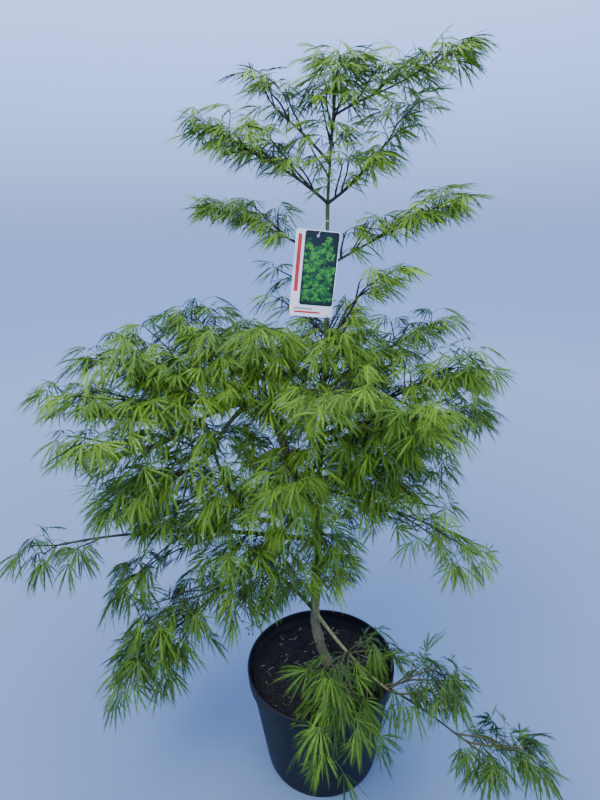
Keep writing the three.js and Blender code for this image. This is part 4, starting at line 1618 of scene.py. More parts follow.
@dataclass
class Wood:
    """The trunk, the leader and the boughs.

    Each stub is a share of the way up the trunk and a bearing in degrees. A stub's reaches
    are shares of its length and its radii are in millimetres. early and late are where on
    its way a bough is lifted to arch.
    """

    trunk_sides: int = 36
    root_flare: float = 6.0
    stubs: Pairs = ((0.12, 40.0), (0.3, 200.0), (0.41, 310.0), (0.55, 120.0), (0.7, 30.0))
    stub_reaches: tuple[float, ...] = (0.0, 0.5, 0.75, 0.95, 1.0, 1.0)
    stub_radii: tuple[float, ...] = (3.8, 2.9, 2.5, 2.4, 2.1, 1.2)
    stub_length: float = 4.5
    early: float = 0.35
    late: float = 0.7
    limbs: dict[str, Limb] = field(default_factory=dict)

    def plan(self) -> None:
        """Lays out every limb's line."""
        self.add_stem(TRUNK, sides=self.trunk_sides, flare=self.root_flare, relief=0.22)
        self.add_stem(LEADER, collar=2.0, sides=22, relief=0.2)
        for bough in BOUGHS:
            start = self.limbs[bough.parent].line.at(bough.share)
            end = np.array(bough.tip) * MM
            lift = UP * bough.arch * MM
            early, late = (
                start + share * (end - start) + lift for share in (self.early, self.late)
            )
            line = Line.steered(start, early, late, end)
            collar = 0.45 * bough.radii[0]
            self.limbs[bough.name] = Limb(bough.name, line, bough.radii, bough.tone, collar)
        for stem in (CROSSING, KNEE):
            self.add_stem(stem, collar=1.2)

    def add_stem(self, stem: StemPlan, **manner: float) -> None:
        """Lays out a stem's line, with what else its limb differs in."""
        line = Line.through(stem.bends)
        self.limbs[stem.name] = Limb(stem.name, line, stem.radii, stem.tone, **manner)

    def build(self) -> list[Piece]:
        """Builds the trunk's piece and the boughs' piece.

        Returns:
            The two pieces.
        """
        bark = [tone.value.dress() for tone in LimbTone]
        order = list(LimbTone)
        trunk, boughs = Surface(), Surface()
        for number, limb in enumerate(self.limbs.values()):
            surface = trunk if limb.name == "trunk" else boughs
            limb.add_skin(surface, order.index(limb.tone), Draw.LIMBS + 10 * number)
        self.add_stubs(trunk)
        trunk_piece = trunk.piece("trunk_bark", bark)
        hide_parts("trunk")
        boughs_piece = boughs.piece("leader_and_boughs", bark)
        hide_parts("leader", *(f"{bough.name}_bough" for bough in BOUGHS))
        return [trunk_piece, boughs_piece]

    def add_stubs(self, surface: Surface) -> None:
        """Adds the short stubs left where young shoots were pruned off the trunk.

        Args:
            surface: The trunk's mesh.
        """
        trunk = self.limbs["trunk"]
        for share, degrees in self.stubs:
            out = unit(bearing(math.radians(degrees)) + 0.35 * UP)
            radius = float(trunk.radius(share))
            foot = trunk.line.at(share) + out * 0.5 * radius
            reach = np.array(self.stub_reaches) * (0.5 * radius + self.stub_length * MM)
            points = foot + out * (reach + np.arange(len(reach)) * 1e-5)[:, None]
            add_tube(surface, points, np.array(self.stub_radii) * MM, 12)


# ---- Pot and compost ----


@dataclass
class NurseryPot:
    """The round moulded pot: a tapered tub with a deep rim band, a rolled lip and drain holes.

    The rows of its section are outward and upward steps in millimetres: the foot ring's from
    the foot's edge, the shoulder's from the wall's top, the band's from its lower edge and
    the lip's from the rim.
    """

    height: float = 235.0
    rim_radius: float = 151.0
    shoulder_radius: float = 144.0
    foot_radius: float = 117.0
    band: float = 30.0
    wall: float = 3.0
    sides: int = 160
    drain_holes: int = 6
    drain_radius: float = 7.0
    drain_ring: float = 92.0
    foot_rows: Pairs = ((-12, 0.6), (-10.5, 0), (-3.4, 0), (-1.1, 0.9), (-0.2, 3.2))
    shoulder_rows: Pairs = ((-0.4, -3.0), (0, -0.6), (0.8, 0))
    band_rows: Pairs = ((-2.6, 0.8), (-1.6, 2.0), (-1.3, 4.0))
    lip_rows: Pairs = (
        (-1.1, -7.5), (-0.7, -5.5), (-0.1, -4.6), (0, -2.4), (-0.5, -0.7), (-1.6, 0),
        (-3.0, -0.3), (-3.8, -1.6), (-4.1, -6),
    )

    def inner(self, height: float) -> float:
        """The inside radius at a height, both in millimetres."""
        rise = height / (self.height - self.band)
        return self.foot_radius + (self.shoulder_radius - self.foot_radius) * rise - self.wall

    def outer(self, height: Array) -> Array:
        """Finds the outside radii.

        Args:
            height: The heights above the ground in metres.

        Returns:
            The radii in metres.
        """
        foot = self.height - self.band
        heights = [0, foot, foot + 1, self.height]
        radii = [self.foot_radius, self.shoulder_radius, self.rim_radius, self.rim_radius]
        return np.interp(height / MM, heights, radii) * MM

    def profile(self) -> list[Pair]:
        """The section of the pot's wall.

        Returns:
            Radius and height pairs from the underside's middle round to the floor's middle.
        """
        foot = self.height - self.band
        wall, floor = self.shoulder_radius - self.foot_radius, self.wall
        zones = (
            (self.foot_radius, 0, self.foot_rows),
            (self.foot_radius, 0, [(wall * i, foot * i) for i in (0.06, 0.3, 0.6, 0.9)]),
            (self.shoulder_radius, foot, self.shoulder_rows),
            (self.rim_radius, foot, self.band_rows),
            (self.rim_radius, self.height, self.lip_rows),
            (self.rim_radius, foot, ((-4.5, 4),)),
        )
        rows = [(0, self.foot_rows[0][1])]
        rows += [(edge + x, base + y) for edge, base, steps in zones for x, y in steps]
        inside = ((foot, 0.4, 0), (foot, 0, -4), (foot / 2, 0, 0), (8, -0.4, 0), (floor, -5, 0))
        rows += [(self.inner(base) + x, base + y) for base, x, y in inside]
        return rows + [(0, floor)]

    def build(self) -> Piece:
        """Builds the pot with its drain holes cut through.

        Returns:
            The piece.
        """
        shell = turned(self.profile(), self.sides)
        piece = shell.piece("pot_shell", [PotPlasticFinish().dress()])
        drills = Surface()
        for i in range(self.drain_holes):
            turn = 2 * math.pi * (i + 0.5) / self.drain_holes
            middle = bearing(turn) * self.drain_ring * MM
            points = middle + UP * np.array([-5.0, 3.0, 8.0])[:, None] * MM
            add_tube(drills, points, np.full(3, self.drain_radius * MM), 24)
        drill = drills.piece("drain_drill", [])
        cut = piece.modifiers.new("drain_holes", "BOOLEAN")
        cut.operation = "DIFFERENCE"
        cut.object = drill
        cut.solver = "EXACT"
        graph = bpy.context.evaluated_depsgraph_get()
        mesh = bpy.data.meshes.new_from_object(piece.evaluated_get(graph))
        piece.modifiers.clear()
        piece.data = mesh
        bpy.data.objects.remove(drill)
        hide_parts("pot")
        return piece


@dataclass
class Compost:
    """The lumpy compost with its crumbs, chips of bark and pale fibres.

    Each unevenness is a lump's size in millimetres and its share of the lump height. The
    other pairs are the least and the most, in millimetres.
    """

    pot: NurseryPot
    level: float = 210.0
    rings: int = 64
    sides: int = 180
    lump: float = 3.2
    unevenness: Pairs = ((85.0, 0.42), (22.0, 0.26), (7.5, 0.16))
    crumbs: int = 620
    crumb_sizes: Pair = (1.0, 3.4)
    chips: int = 26
    chip_sizes: Pair = (2.4, 5.2)
    pale_chips: float = 0.3
    fibres: int = 76
    fibre_reaches: Pair = (5, 21)
    fibre_radii: Pair = (0.3, 0.62)

    def height(self, places: Array) -> Array:
        """How high the compost stands.

        Args:
            places: Points over it in metres; only their first two numbers count.

        Returns:
            The surface's height in metres at each.
        """
        flat = places * LEVEL
        rise = self.lump * sum(
            share * waves(flat, size * MM, Draw.COMPOST + number)
            for number, (size, share) in enumerate(self.unevenness)
        ) - 0.9
        edge = np.linalg.norm(flat, axis=1) / (self.pot.inner(self.level) * MM)
        return (self.level + rise - 2.0 * np.clip((edge - 0.86) / 0.14, 0, 1)) * MM

    def build(self) -> list[Piece]:
        """Builds the compost and what lies on it.

        Returns:
            The pieces.
        """
        edge = self.pot.inner(self.level) - 0.6
        rows = [(0, 6), (self.pot.inner(6) - 1.5, 6), (edge, self.level - 8)]
        rows += [(edge * i / self.rings, self.level) for i in range(self.rings, 0, -1)]
        surface = turned(rows + [(0, self.level)], self.sides)
        points = surface.points[0]
        top = points[:, 2] > (self.level - 1) * MM
        points[top, 2] = self.height(points[top])
        bed = surface.piece("compost_bed", [CompostFinish().dress()])
        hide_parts("potting_compost")
        pieces = [bed, self.build_crumbs(), self.build_fibres()]
        return pieces

    def scatter(self, rng: np.random.Generator, count: int, margin: float) -> Array:
        """Spots spread over the compost.

        Args:
            rng: Where chance comes from.
            count: How many.
            margin: How far they stay from the wall, in millimetres.

        Returns:
            Points on its surface.
        """
        radius = (self.pot.inner(self.level) - margin) * MM * np.sqrt(rng.random(count))
        turn = rng.uniform(0, 2 * np.pi, count)
        spots = np.stack([radius * np.cos(turn), radius * np.sin(turn), np.zeros(count)], -1)
        spots[:, 2] = self.height(spots)
        return spots

    def build_crumbs(self) -> Piece:
        """Builds the crumbs of peat and the flat chips of bark.

        Returns:
            The piece.
        """
        rng = chance(Draw.CRUMBS)
        corners, faces = icosphere_points()
        surface = Surface()
        count = self.crumbs + self.chips
        for number, spot in enumerate(self.scatter(rng, count, 6)):
            chip = number >= self.crumbs
            size = rng.uniform(*(self.chip_sizes if chip else self.crumb_sizes)) * MM
            shape = rng.uniform(0.7, 1.3, 3) * ([1.5, 0.8, 0.28] if chip else [1, 1, 0.8])
            turn = Matrix.Rotation(rng.uniform(0, 6.28), 3, "Z")
            turn = np.array(turn @ Matrix.Rotation(rng.normal(0, 0.35), 3, "X"))
            body = corners * (1 + rng.normal(0, 0.12, (len(corners), 1))) * shape * size
            finish = int(chip) + int(chip and rng.random() < self.pale_chips)
            surface.add(body @ turn.T + spot + UP * 0.25 * size, faces, finish)
        finishes = [
            CompostFinish("compost_crumbs", (0.006, 0.004, 0.003), (0.028, 0.018, 0.011)).dress(),
            MatterFinish("bark_chips", (0.030, 0.019, 0.012), (0.014, 0.009, 0.006)).dress(),
            MatterFinish("pale_chips", (0.13, 0.09, 0.05), (0.05, 0.03, 0.02)).dress(),
        ]
        return surface.piece("compost_crumbs", finishes, smooth=False)

    def build_fibres(self) -> Piece:
        """Builds the pale fibres that lie on the compost.

        Returns:
            The piece.
        """
        rng = chance(Draw.FIBRES)
        surface = Surface()
        sag = np.sin(np.linspace(0, np.pi, 6))
        for spot in self.scatter(rng, self.fibres, 16):
            reach = rng.uniform(*self.fibre_reaches) * MM
            turn = rng.uniform(0, 2 * np.pi)
            ways = turn + rng.normal(0, 1.1) * np.linspace(-0.5, 0.5, 6)
            steps = np.stack([np.cos(ways), np.sin(ways), np.zeros(6)], -1) * reach / 6
            points = spot + np.cumsum(steps, axis=0) - steps.sum(0) / 2
            points[:, 2] = self.height(points) + (1.1 + rng.uniform(0, 1.6) * sag) * MM
            thick = rng.uniform(*self.fibre_radii) * np.array([0.5, 0.9, 1.0, 1.0, 0.8, 0.4])
            add_tube(surface, points, thick * MM, 5)
        fibre = MatterFinish("pale_fibres", (0.42, 0.34, 0.24), (0.20, 0.14, 0.09))
        return surface.piece("compost_fibres", [fibre.dress()])


def icosphere_points() -> tuple[Array, Array]:
    """A ball of twenty triangles.

    Returns:
        Its corners, one from the middle, and its faces.
    """
    g = (1 + math.sqrt(5)) / 2
    corners = []
    for a in (-1, 1):
        for b in (-g, g):
            corners += [(a, b, 0), (0, a, b), (b, 0, a)]
    points = unit(np.array(corners, float))
    faces = []
    for i in range(12):
        for j in range(i + 1, 12):
            for k in range(j + 1, 12):
                trio = points[[i, j, k]]
                if max(np.linalg.norm(trio - np.roll(trio, 1, 0), axis=1)) < 1.1:
                    out = np.dot(np.cross(trio[1] - trio[0], trio[2] - trio[0]), trio.sum(0)) > 0
                    faces.append((i, j, k) if out else (i, k, j))
    return points, np.array(faces)


# ---- Hang tag ----


class CardInk(IntEnum):
    """The places of the card's inks in its list of finishes."""

    CARD = 0
    PANEL = 1
    RED = 2
    LEAF = 3
    LIGHT_LEAF = 4
    GREY = 5


CARD_INKS = (
    PrintFinish("card_white", (0.80, 0.80, 0.78)),
    PrintFinish("ink_dark_green", (0.003, 0.012, 0.008)),
    PrintFinish("ink_red", (0.55, 0.030, 0.028)),
    PrintFinish("ink_leaf_green", (0.012, 0.115, 0.014)),
    PrintFinish("ink_light_green", (0.050, 0.260, 0.022)),
    PrintFinish("ink_grey", (0.30, 0.31, 0.30)),
)


@dataclass
class HangTag:
    """The printed card that hangs on the leader by a loop of string.

    Its face is a plain pattern: a dark panel with drooping green fronds, a red strip down
    one side and two plain bars below. The edges of each are its left, bottom, right and top,
    counted from the card's lower left corner. share is where on the leader the card hangs.
    """

    leader: Limb
    width: float = 76.0
    height: float = 146.0
    thickness: float = 1.0
    top: float = 1081.0
    left_of_stem: float = 15.0
    turn: float = 11.0
    skew: float = -7.0
    share: float = 0.66
    hole_below_top: float = 9.0
    hole_radius: float = 3.0
    corner: float = 5.0
    ink: float = 0.12
    panel: Edges = (16, 20, 74.5, 144.5)
    strip: Edges = (4.5, 42, 11, 138)
    low_bar: Edges = (8, 6, 54.4, 9)
    high_bar: Edges = (8, 12, 39.9, 15)
    fronds: int = 300
    frond_sizes: Pair = (5.0, 9.5)
    frond_lean: float = 22.0
    fans: tuple[float, ...] = (-62, -33, 0, 33, 62)
    half_blade: float = 0.95
    light_fronds: float = 0.45
    clear_of_hole: float = 14.0
    string_radius: float = 0.55
    string_turns: tuple[float, ...] = (235, 290, 350, 50, 100, 150, 200)
    clearance: float = 0.3

    def place(self) -> Matrix:
        """Where the card's own axes lie.

        Returns:
            The matrix from the card's axes, in metres, to the plant's. Its top edge is
            at 0 and its front faces its own +Z.
        """
        turn, skew = math.radians(self.turn), math.radians(self.skew)
        seat = self.leader.radius(self.share) + 2 * self.clearance * MM
        spot = Vector(self.leader.line.at(self.share))
        spot.z = self.top * MM
        spot += Vector((math.sin(turn), -math.cos(turn), 0)) * float(seat)
        stand = Matrix.Rotation(math.pi / 2, 4, "X") @ Matrix.Rotation(turn, 4, "Y")
        return Matrix.Translation(spot) @ stand @ Matrix.Rotation(skew, 4, "Z")

    def in_place(self, points: Array) -> Array:
        """Points in millimetres on the card's axes, brought to the plant's, in metres."""
        matrix = np.array(self.place())
        return points * MM @ matrix[:3, :3].T + matrix[:3, 3]

    def slab(
        self,
        surface: Surface,
        outline: Outline | Array,
        low: float,
        high: float,
        finish: int,
        holed: bool = False,
    ) -> None:
        """Adds a flat slab with the given outline.

        Args:
            surface: The mesh.
            outline: Its corners in order, anticlockwise from the front, in millimetres.
            low: The height of its back over the card's back.
            high: The height of its front.
            finish: Its material's place in the piece's list.
            holed: Whether the string hole goes through it.
        """
        rim = np.array(outline, float)
        if not holed:
            rings = np.array([np.insert(rim, 2, level, axis=1) for level in (low, high)])
            surface.add_closed(self.in_place(rings), self.in_place(rings.mean(1)), finish)
            return
        toward = np.arctan2(rim[:, 1] - self.hole[1], rim[:, 0] - self.hole[0])
        hole = self.hole + self.hole_radius * np.column_stack([np.cos(toward), np.sin(toward)])
        count = len(rim)
        rings = [
            np.insert(ring, 2, level, axis=1)
            for ring, level in ((hole, low), (rim, low), (rim, high), (hole, high))
        ]
        faces = skin_faces(5, count)
        faces[faces >= 4 * count] -= 4 * count
        surface.add(self.in_place(np.concatenate(rings)), faces[:, ::-1], finish)

    def rounded(self, edges: Edges, corner: float) -> Outline:
        """A rectangle with round corners.

        Args:
            edges: Its left, bottom, right and top edges.
            corner: Its corners' radius.

        Returns:
            The outline, anticlockwise.
        """
        left, bottom, right, top = edges
        rows = []
        for x, y, start in (
            (right - corner, top - corner, 0), (left + corner, top - corner, 90),
            (left + corner, bottom + corner, 180), (right - corner, bottom + corner, 270),
        ):
            for degrees in range(start, start + 91, 15):
                way = bearing(math.radians(degrees))
                rows.append((x + corner * way[0], y + corner * way[1]))
        return rows

    def on_card(self, edges: Edges) -> Edges:
        """Edges counted from the card's lower left corner, on its own axes."""
        left, bottom, right, top = edges
        return left + self.left, bottom - self.height, right + self.left, top - self.height

    @property
    def left(self) -> float:
        """The card's left edge, in millimetres from the leader's middle."""
        return -self.width / 2 - self.left_of_stem

    @property
    def hole(self) -> Array:
        """The middle of the string hole on the card."""
        return np.array([self.left + self.width / 2, -self.hole_below_top])

    def print_face(self, surface: Surface) -> None:
        """Adds the printed pattern on the card's front.

        Args:
            surface: The mesh.
        """
        face, inked = self.thickness, self.thickness + self.ink
        panel = self.on_card(self.panel)
        self.slab(surface, self.rounded(panel, 4.0), face, inked, CardInk.PANEL, holed=True)
        for edges, corner, ink in (
            (self.strip, 1.0, CardInk.RED),
            (self.low_bar, 0.8, CardInk.RED),
            (self.high_bar, 0.8, CardInk.GREY),
        ):
            self.slab(surface, self.rounded(self.on_card(edges), corner), face, inked, ink)
        rng = chance(Draw.FRONDS)
        low, high = np.array(panel[:2]) + [3, 9], np.array(panel[2:]) - [3, 4]
        for _ in range(self.fronds):
            x, y = rng.uniform(low, high)
            crown = panel[2] - 16 + 0.22 * (panel[3] - y)
            if np.linalg.norm(self.hole - (x, y)) > self.clear_of_hole and x < crown:
                self.frond(surface, np.array([x, y]), rng, panel)

    def frond(self, surface: Surface, foot: Array, rng: np.random.Generator, panel: Edges) -> None:
        """Adds one printed frond: five thin blades that fan downwards.

        Args:
            surface: The mesh.
            foot: Where its blades meet on the card.
            rng: Where chance comes from.
            panel: The panel's left, bottom, right and top edges, which it stays inside.
        """
        level = self.thickness + self.ink
        lean, size = rng.normal(0, self.frond_lean), rng.uniform(*self.frond_sizes)
        light = CardInk.LEAF + int(rng.random() < self.light_fronds)
        for number, fan in enumerate(self.fans):
            angle = math.radians(-90 + lean + fan + rng.normal(0, 8))
            reach = size * rng.uniform(0.85, 1.15) * (1 - 0.004 * abs(fan))
            way = bearing(angle)[:2]
            side = np.array([-way[1], way[0]]) * self.half_blade
            middle = foot + way * reach * 0.45
            blade = np.array([foot, middle - side, foot + way * reach, middle + side])
            blade = np.clip(blade, np.array(panel[:2]) + 1, np.array(panel[2:]) - 1)
            step = self.ink * (0.35 + 0.12 * number + 0.05 * rng.random())
            self.slab(surface, blade, level, level + step, light)

    def string(self) -> Surface:
        """The loop of string through the hole and round the leader.

        Returns:
            Its mesh.
        """
        (x, y), face = self.hole, self.thickness
        spots = [(x, y, face + 1.2), (x, y, -1.2), (x + 4, 3.0, face + 1.6), (x + 5, 2.0, -1.4)]
        front, back, over, under = self.in_place(np.array(spots))
        share = self.share + 0.02
        stem = self.leader.line.at(share) * LEVEL + UP * (self.top * MM + 0.016)
        radius = float(self.leader.radius(share)) + 1.3 * MM
        loop = [front, over]
        for degrees in self.string_turns:
            turn = math.radians(degrees)
            loop.append(stem + radius * bearing(turn) + UP * 0.8 * MM * math.sin(turn))
        line = Line.through([tuple(point / MM) for point in (*loop, under, back, front)])
        surface = Surface()
        points = line.at(np.linspace(0, 1, 110))
        add_tube(surface, points, np.full(len(points), self.string_radius * MM), 8)
        return surface

    def build(self) -> list[Piece]:
        """Builds the card and its string.

        Returns:
            The two pieces.
        """
        surface = Surface()
        card = self.rounded(self.on_card((0, 0, self.width, self.height)), self.corner)
        self.slab(surface, card, 0.0, self.thickness, CardInk.CARD, holed=True)
        self.print_face(surface)
        tag = surface.piece("printed_tag", [ink.dress() for ink in CARD_INKS], smooth=False)
        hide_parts("hang_tag")
        white = PrintFinish("string_white", (0.70, 0.70, 0.66), 0.55)
        cord = self.string().piece("tag_string", [white.dress()])
        return [tag, cord]


# ---- Crown ----


@dataclass
class Crown:
    """The shoots and leaves, grown on from the limbs.

    Sizes are in millimetres. Leaves may pass the box by the overhang along each axis. Sprays
    longer than bare_from have no leaves on the first bare_share of their line.
    """

    wood: Wood
    pot: NurseryPot
    compost: Compost
    tag: HangTag
    box: tuple[Array, Array]
    overhang: tuple[float, float, float] = (36.0, 18.0, 32.0)
    bare_share: float = 0.38
    bare_from: float = 190.0
    sag: float = 0.33
    side_radius: float = 1.9
    main_radius: float = 3.0
    sprig_radius: float = 1.3
    golden_turn: float = 137.0
    wall_gap: float = 2.5
    floor_gap: float = 1.5
    rim_reach: float = 4.0
    wall_reach: float = 8.0
    tag_gap: float = 4.0
    tag_view: float = 160.0
    cut: LeafCut = field(default_factory=LeafCut)
    grower: Grower = field(default_factory=Grower)

    def spray_line(self, plan: SprayPlan) -> Line:
        """The line a spray grows along.

        Args:
            plan: The spray.

        Returns:
            Its line, from the limb to the spray's tip.
        """
        limb = self.wood.limbs[plan.limb]
        start = limb.line.at(plan.share)
        look = plan.region.value
        end = np.array(plan.tip) * MM + UP * self.sag * look.weep * look.leaf * MM
        reach = float(np.linalg.norm(end - start))
        lift = UP * (plan.arch * MM if plan.arch is not None else 0.1 * reach)
        heading = limb.line.heading(1.0) if plan.share == 1 else unit(end - start)
        leaving = start + heading * self.wood.early * reach
        if plan.share < 1:
            leaving = leaving + lift
        return Line.steered(start, leaving, start + self.wood.late * (end - start) + lift, end)

    def grow(self) -> None:
        """Grows every spray and every row of sprigs."""
        side_plans = [plan for group in SIDE_SPRAYS for plan in group.plans()]
        for number, plan in enumerate([*SPRAYS, *side_plans]):
            self.grower.reseed(Draw.SPRAYS + number)
            limb = self.wood.limbs[plan.limb]
            radius = float(limb.radius(1.0)) if plan.share == 1 else self.side_radius * MM
            line = self.spray_line(plan)
            bare = self.bare_share if line.length > self.bare_from * MM else 0.0
            habit = Habit(plan.region, plan.leaf, plan.weep, plan.light, bare)
            self.grower.spray(line, plan.width * MM, min(radius, self.main_radius * MM), habit)
        for number, row in enumerate(SPRIGS):
            self.grower.reseed(Draw.SPRIGS + number)
            self.grow_row(row)

    def grow_row(self, row: SprigRow) -> None:
        """Grows the short shoots along one stretch of a limb.

        Args:
            row: Their plan.
        """
        rng = self.grower.rng
        limb = self.wood.limbs[row.limb]
        habit = Habit(row.region, light=row.light)
        turn = rng.uniform(0, 2 * np.pi)
        for share in np.linspace(row.first, row.last, row.count) + rng.normal(0, 0.01, row.count):
            share = float(np.clip(share, 0, 1))
            way = limb.line.heading(share)
            side = square_to(np.cross(way, UP + [0.01, 0, 0]), way)
            over = np.cross(side, way)
            turn += math.radians(self.golden_turn) * rng.uniform(0.8, 1.2)
            out = math.cos(turn) * side + math.sin(turn) * over
            set_off = unit(0.45 * way + out + row.rise * UP)
            reach = rng.uniform(*row.reach) * MM
            start = limb.line.at(share)
            end = start + set_off * reach + DOWN * 0.12 * reach
            late = end + UP * 0.12 * reach - 0.2 * reach * set_off
            line = Line.steered(start, start + 0.4 * reach * set_off, late, end)
            self.grower.spray(line, 0.75 * reach, self.sprig_radius * MM, habit)

    def settle(self, points: Array, feet: Array) -> Array:
        """Lays leaves on the pot, the compost or the ground where they would sink in.

        Args:
            points: The leaves' points, shaped (leaves, points, 3).
            feet: The leaves' feet, shaped (leaves, 3).

        Returns:
            The points, moved out.
        """
        points = points.copy()
        rim, shoulder = self.pot.rim_radius * MM, self.pot.shoulder_radius * MM
        outside = (np.linalg.norm(feet[:, :2], axis=1) > rim - self.rim_reach * MM)[:, None]
        away = np.linalg.norm(points[..., :2], axis=-1)
        wall = self.pot.outer(points[..., 2]) + self.wall_gap * MM
        low = points[..., 2] < self.pot.height * MM
        push = low & (away < wall) & (outside | (away > shoulder - self.wall_reach * MM))
        points[..., :2] *= np.where(push, wall / np.maximum(away, 1e-6), 1.0)[..., None]
        inside = np.linalg.norm(points[..., :2], axis=-1) < shoulder
        bed = (self.compost.level + self.wall_gap) * MM
        lowest = np.where(inside, bed, self.floor_gap * MM)
        points[..., 2] = np.maximum(points[..., 2], lowest)
        return points

    def allowed(self, points: Array) -> Array:
        """Which leaves keep to the plant's size and leave the tag's face clear.

        Args:
            points: The leaves' points, shaped (leaves, points, 3).

        Returns:
            True for each leaf that has room.
        """
        low, high = self.box
        spare = np.array(self.overhang) * MM
        inside = ((points > low - spare) & (points < high + spare)).all((1, 2))
        matrix = np.array(self.tag.place().inverted())
        local = (points @ matrix[:3, :3].T + matrix[:3, 3]) / MM
        corner = np.array([self.tag.left, -self.tag.height, 0]) - self.tag_gap
        far = (self.tag.left + self.tag.width + self.tag_gap, self.tag_gap, self.tag_view)
        over_card = ((local > corner) & (local < far)).all(-1)
        return inside & ~over_card.any(1)

    def build(self) -> list[Piece]:
        """Builds the leaves and the shoots, region by region.

        Returns:
            The pieces.
        """
        tints = [tint.dress() for tint in LEAF_TINTS]
        barks = [bark.dress() for bark in SHOOT_BARKS]
        pieces = []
        for number, region in enumerate(Region):
            title = region.value.title
            seats = [leaf for leaf in self.grower.leaves if leaf.region is region]
            leaves = self.cut.cut(seats, Draw.LEAVES + number, self.settle, self.allowed)
            piece = leaves.piece(f"{title}_leaves", tints, smooth=False)
            nodes = [f"{plan.name}_foliage" for plan in SPRAYS if plan.region is region]
            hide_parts(*nodes)
            shoots = Surface()
            for shoot in self.grower.shoots:
                if shoot.region is region:
                    sides = 7 if shoot.radii[0] > 1.4 * MM else 5
                    add_tube(shoots, shoot.points, shoot.radii, sides, shoot.bark)
            twigs = shoots.piece(f"{title}_shoots", barks)
            pieces += [piece, twigs]
        return pieces


@dataclass
class BudClusters:
    """Small clusters of dark flower buds, each bud on its own fine stalk.

    Each cluster hangs from the shoot nearest to it. Sizes are in millimetres.
    """

    grower: Grower
    spots: tuple[Point, ...] = ((-125, -60, 363), (-200, 100, 590), (50, 150, 480))
    buds: int = 5
    spread: float = 20.0
    bud_radius: float = 2.2
    red_buds: float = 0.15
    stalk_radius: float = 0.45

    def build(self) -> Piece:
        """Builds the clusters, each in two halves on stalks of their own.

        Returns:
            The piece.
        """
        rng = chance(Draw.BUDS)
        corners, faces = icosphere_points()
        shoots = np.concatenate([shoot.points for shoot in self.grower.shoots])
        surface = Surface()
        for spot in np.array(self.spots) * MM:
            above = shoots[shoots[:, 2] > spot[2] + 2 * self.spread * MM]
            foot = above[np.argmin(np.linalg.norm(above - spot, axis=1))]
            for _ in range(2):
                fork = spot + (rng.normal(0, 3, 3) + 0.5 * self.spread * UP) * MM
                self.add_stalk(surface, foot, fork)
                turn = rng.uniform(0, 2 * np.pi) + 2.4 * np.arange(self.buds)
                rise = rng.uniform(-1.0, 0.3, self.buds)
                for way in unit(np.column_stack([np.cos(turn), np.sin(turn), rise])):
                    end = fork + way * rng.uniform(0.6, 1.2) * self.spread * MM
                    self.add_stalk(surface, fork, end)
                    radius = rng.uniform(0.8, 1.15) * self.bud_radius * MM
                    bud = corners * [0.85, 0.85, 1.2] * radius
                    surface.add(bud + end, faces, 1 + int(rng.random() < self.red_buds))
        finishes = (
            LeafTint("bud_stalk", (0.045, 0.060, 0.015)),
            LeafTint("bud_dark", (0.010, 0.005, 0.010)),
            LeafTint("bud_red", (0.180, 0.015, 0.030)),
        )
        piece = surface.piece("bud_clusters", [finish.dress() for finish in finishes])
        return piece

    def add_stalk(self, surface: Surface, start: Array, end: Array) -> None:
        """Adds a fine stalk that bows as it hangs.

        Args:
            surface: The mesh it is added to.
            start: Where it leaves the shoot or the stalk above.
            end: Where it ends.
        """
        level = np.array([end[0], end[1], start[2]])
        line = Line.steered(start, start + 0.3 * (level - start), end + 0.4 * (level - end), end)
        points = line.at(np.linspace(0, 1, 8))
        add_tube(surface, points, np.full(len(points), self.stalk_radius * MM), 5)


# ---- Studio ----


@dataclass(frozen=True)
class SoftLight:
    """A square light, with where it stands and points, its side in metres and its watts."""

    name: str
    spot: Point
    target: Point
    size: float
    power: float
    colour: Colour

    def add(self) -> None:
        """Adds the light to the scene."""
        light = bpy.data.lights.new(self.name, "AREA")
        light.shape = "SQUARE"
        light.size = self.size
        light.energy = self.power
        light.color = self.colour
        obj = bpy.data.objects.new(self.name, light)
        obj.location = self.spot
        way = Vector(self.target) - Vector(self.spot)
        obj.rotation_euler = way.to_track_quat("-Z", "Y").to_euler()
        bpy.context.scene.collection.objects.link(obj)


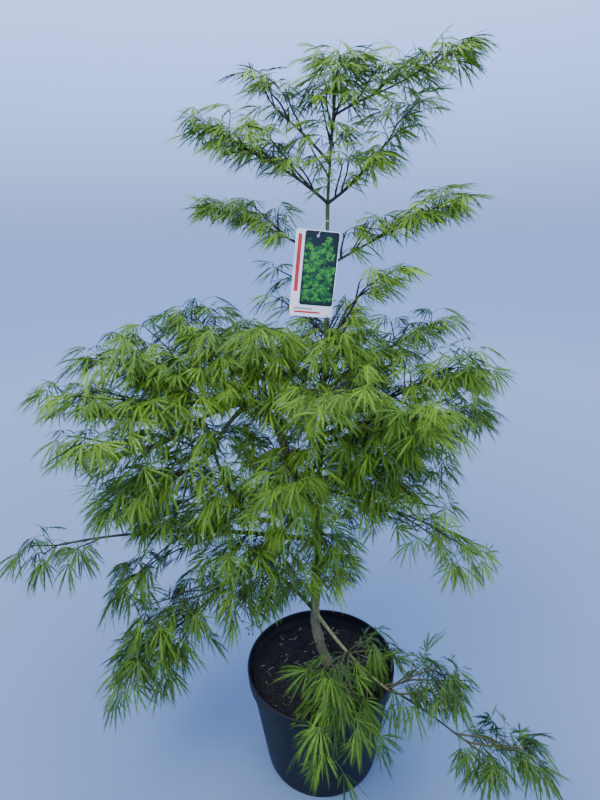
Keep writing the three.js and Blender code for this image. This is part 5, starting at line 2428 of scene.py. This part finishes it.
@dataclass
class Studio:
    """The pale floor and sky, the soft lights and the camera.

    Places are in metres and turns in degrees. The camera's focal length is in pixels of a
    picture as tall as tall_pixels, and its sensor is in millimetres.
    """

    spot: Point = (0.0437, -0.877, 1.093)
    yaw: float = -4.67
    pitch: float = 18.3
    roll: float = -1.56
    focal_pixels: float = 531.5
    tall_pixels: float = 800.0
    sensor: float = 36.0
    floor_size: float = 120.0
    sky_low: Colour = (0.37, 0.57, 1.16)
    sky_high: Colour = (0.86, 1.24, 2.60)
    sky_top: float = 0.35
    lights: tuple[SoftLight, ...] = (
        SoftLight("key_light", (-0.9, -1.5, 2.9), (0, 0, 0.7), 1.6, 88, (1.0, 0.98, 0.95)),
        SoftLight("fill_light", (1.9, -1.2, 1.9), (0, 0, 0.6), 1.8, 30, (0.92, 0.96, 1.0)),
        SoftLight("top_light", (0.2, 0.3, 3.4), (0, 0, 0.6), 2.4, 66, (0.97, 0.98, 1.0)),
    )

    def aim(self) -> Matrix:
        """The camera's turn.

        Returns:
            A matrix whose columns are the camera's right, up and backward ways.
        """
        yaw, pitch, roll = (math.radians(a) for a in (self.yaw, self.pitch, self.roll))
        ahead = Vector((math.sin(yaw), math.cos(yaw), 0.0))
        forward = math.cos(pitch) * ahead - math.sin(pitch) * Vector(UP)
        right = Vector((math.cos(yaw), -math.sin(yaw), 0.0))
        up = right.cross(forward)
        level = math.cos(roll) * right + math.sin(roll) * up
        upright = -math.sin(roll) * right + math.cos(roll) * up
        return Matrix((level, upright, -forward)).transposed().to_4x4()

    def add_camera(self) -> None:
        """Adds the camera and makes it the scene's own."""
        camera = bpy.data.cameras.new("studio_camera")
        camera.sensor_width = self.sensor
        camera.lens = self.focal_pixels * self.sensor / self.tall_pixels
        camera.clip_start = 0.01
        obj = bpy.data.objects.new("studio_camera", camera)
        obj.matrix_world = Matrix.Translation(Vector(self.spot)) @ self.aim()
        bpy.context.scene.collection.objects.link(obj)
        bpy.context.scene.camera = obj

    def build(self) -> None:
        """Builds the studio round the plant."""
        self.add_floor()
        self.add_sky()
        for light in self.lights:
            light.add()
        self.add_camera()

    def add_floor(self) -> None:
        """Adds the floor, just under the pot."""
        half = self.floor_size / 2
        surface = Surface()
        corners = [(-half, -half, 0), (half, -half, 0), (half, half, 0), (-half, half, 0)]
        surface.add(np.array(corners) - UP * 0.5 * MM, np.array([[0, 1, 2, 3]]))
        floor = surface.piece("studio_floor", [FloorFinish().dress()], smooth=False)
        floor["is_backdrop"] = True

    def add_sky(self) -> None:
        """Adds the sky, which brightens upwards from the horizon."""
        world = bpy.data.worlds.new("studio_sky")
        world.use_nodes = True
        tree = world.node_tree
        where = tree.nodes.new("ShaderNodeTexCoord")
        split = tree.nodes.new("ShaderNodeSeparateXYZ")
        fade = tree.nodes.new("ShaderNodeValToRGB")
        low, high = fade.color_ramp.elements
        low.color, high.color = (*self.sky_low, 1.0), (*self.sky_high, 1.0)
        high.position = self.sky_top
        backdrop = tree.nodes["Background"]
        tree.links.new(where.outputs["Generated"], split.inputs["Vector"])
        tree.links.new(split.outputs["Z"], fade.inputs["Fac"])
        tree.links.new(fade.outputs["Color"], backdrop.inputs["Color"])
        bpy.context.scene.world = world


# ---- The whole plant ----


def main() -> None:
    """Builds the pot, the wood, the tag, the crown and the studio, in that order."""
    logging.basicConfig(level=logging.INFO, format="%(name)s: %(message)s")
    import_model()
    cad_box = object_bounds()
    pot = NurseryPot()
    compost = Compost(pot)
    wood = Wood()
    wood.plan()
    tag = HangTag(wood.limbs["leader"])
    low, high = (np.array(corner) for corner in cad_box)
    crown = Crown(wood, pot, compost, tag, (low, high))
    crown.grow()
    pieces = [pot.build(), *compost.build(), *wood.build(), *tag.build(), *crown.build()]
    pieces.append(BudClusters(crown.grower).build())
    for piece in pieces:
        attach(piece, ROOT)
        log.info("%s: %d faces", piece.name, len(piece.data.polygons))
    Studio().build()


if __name__ == "__main__":
    main()
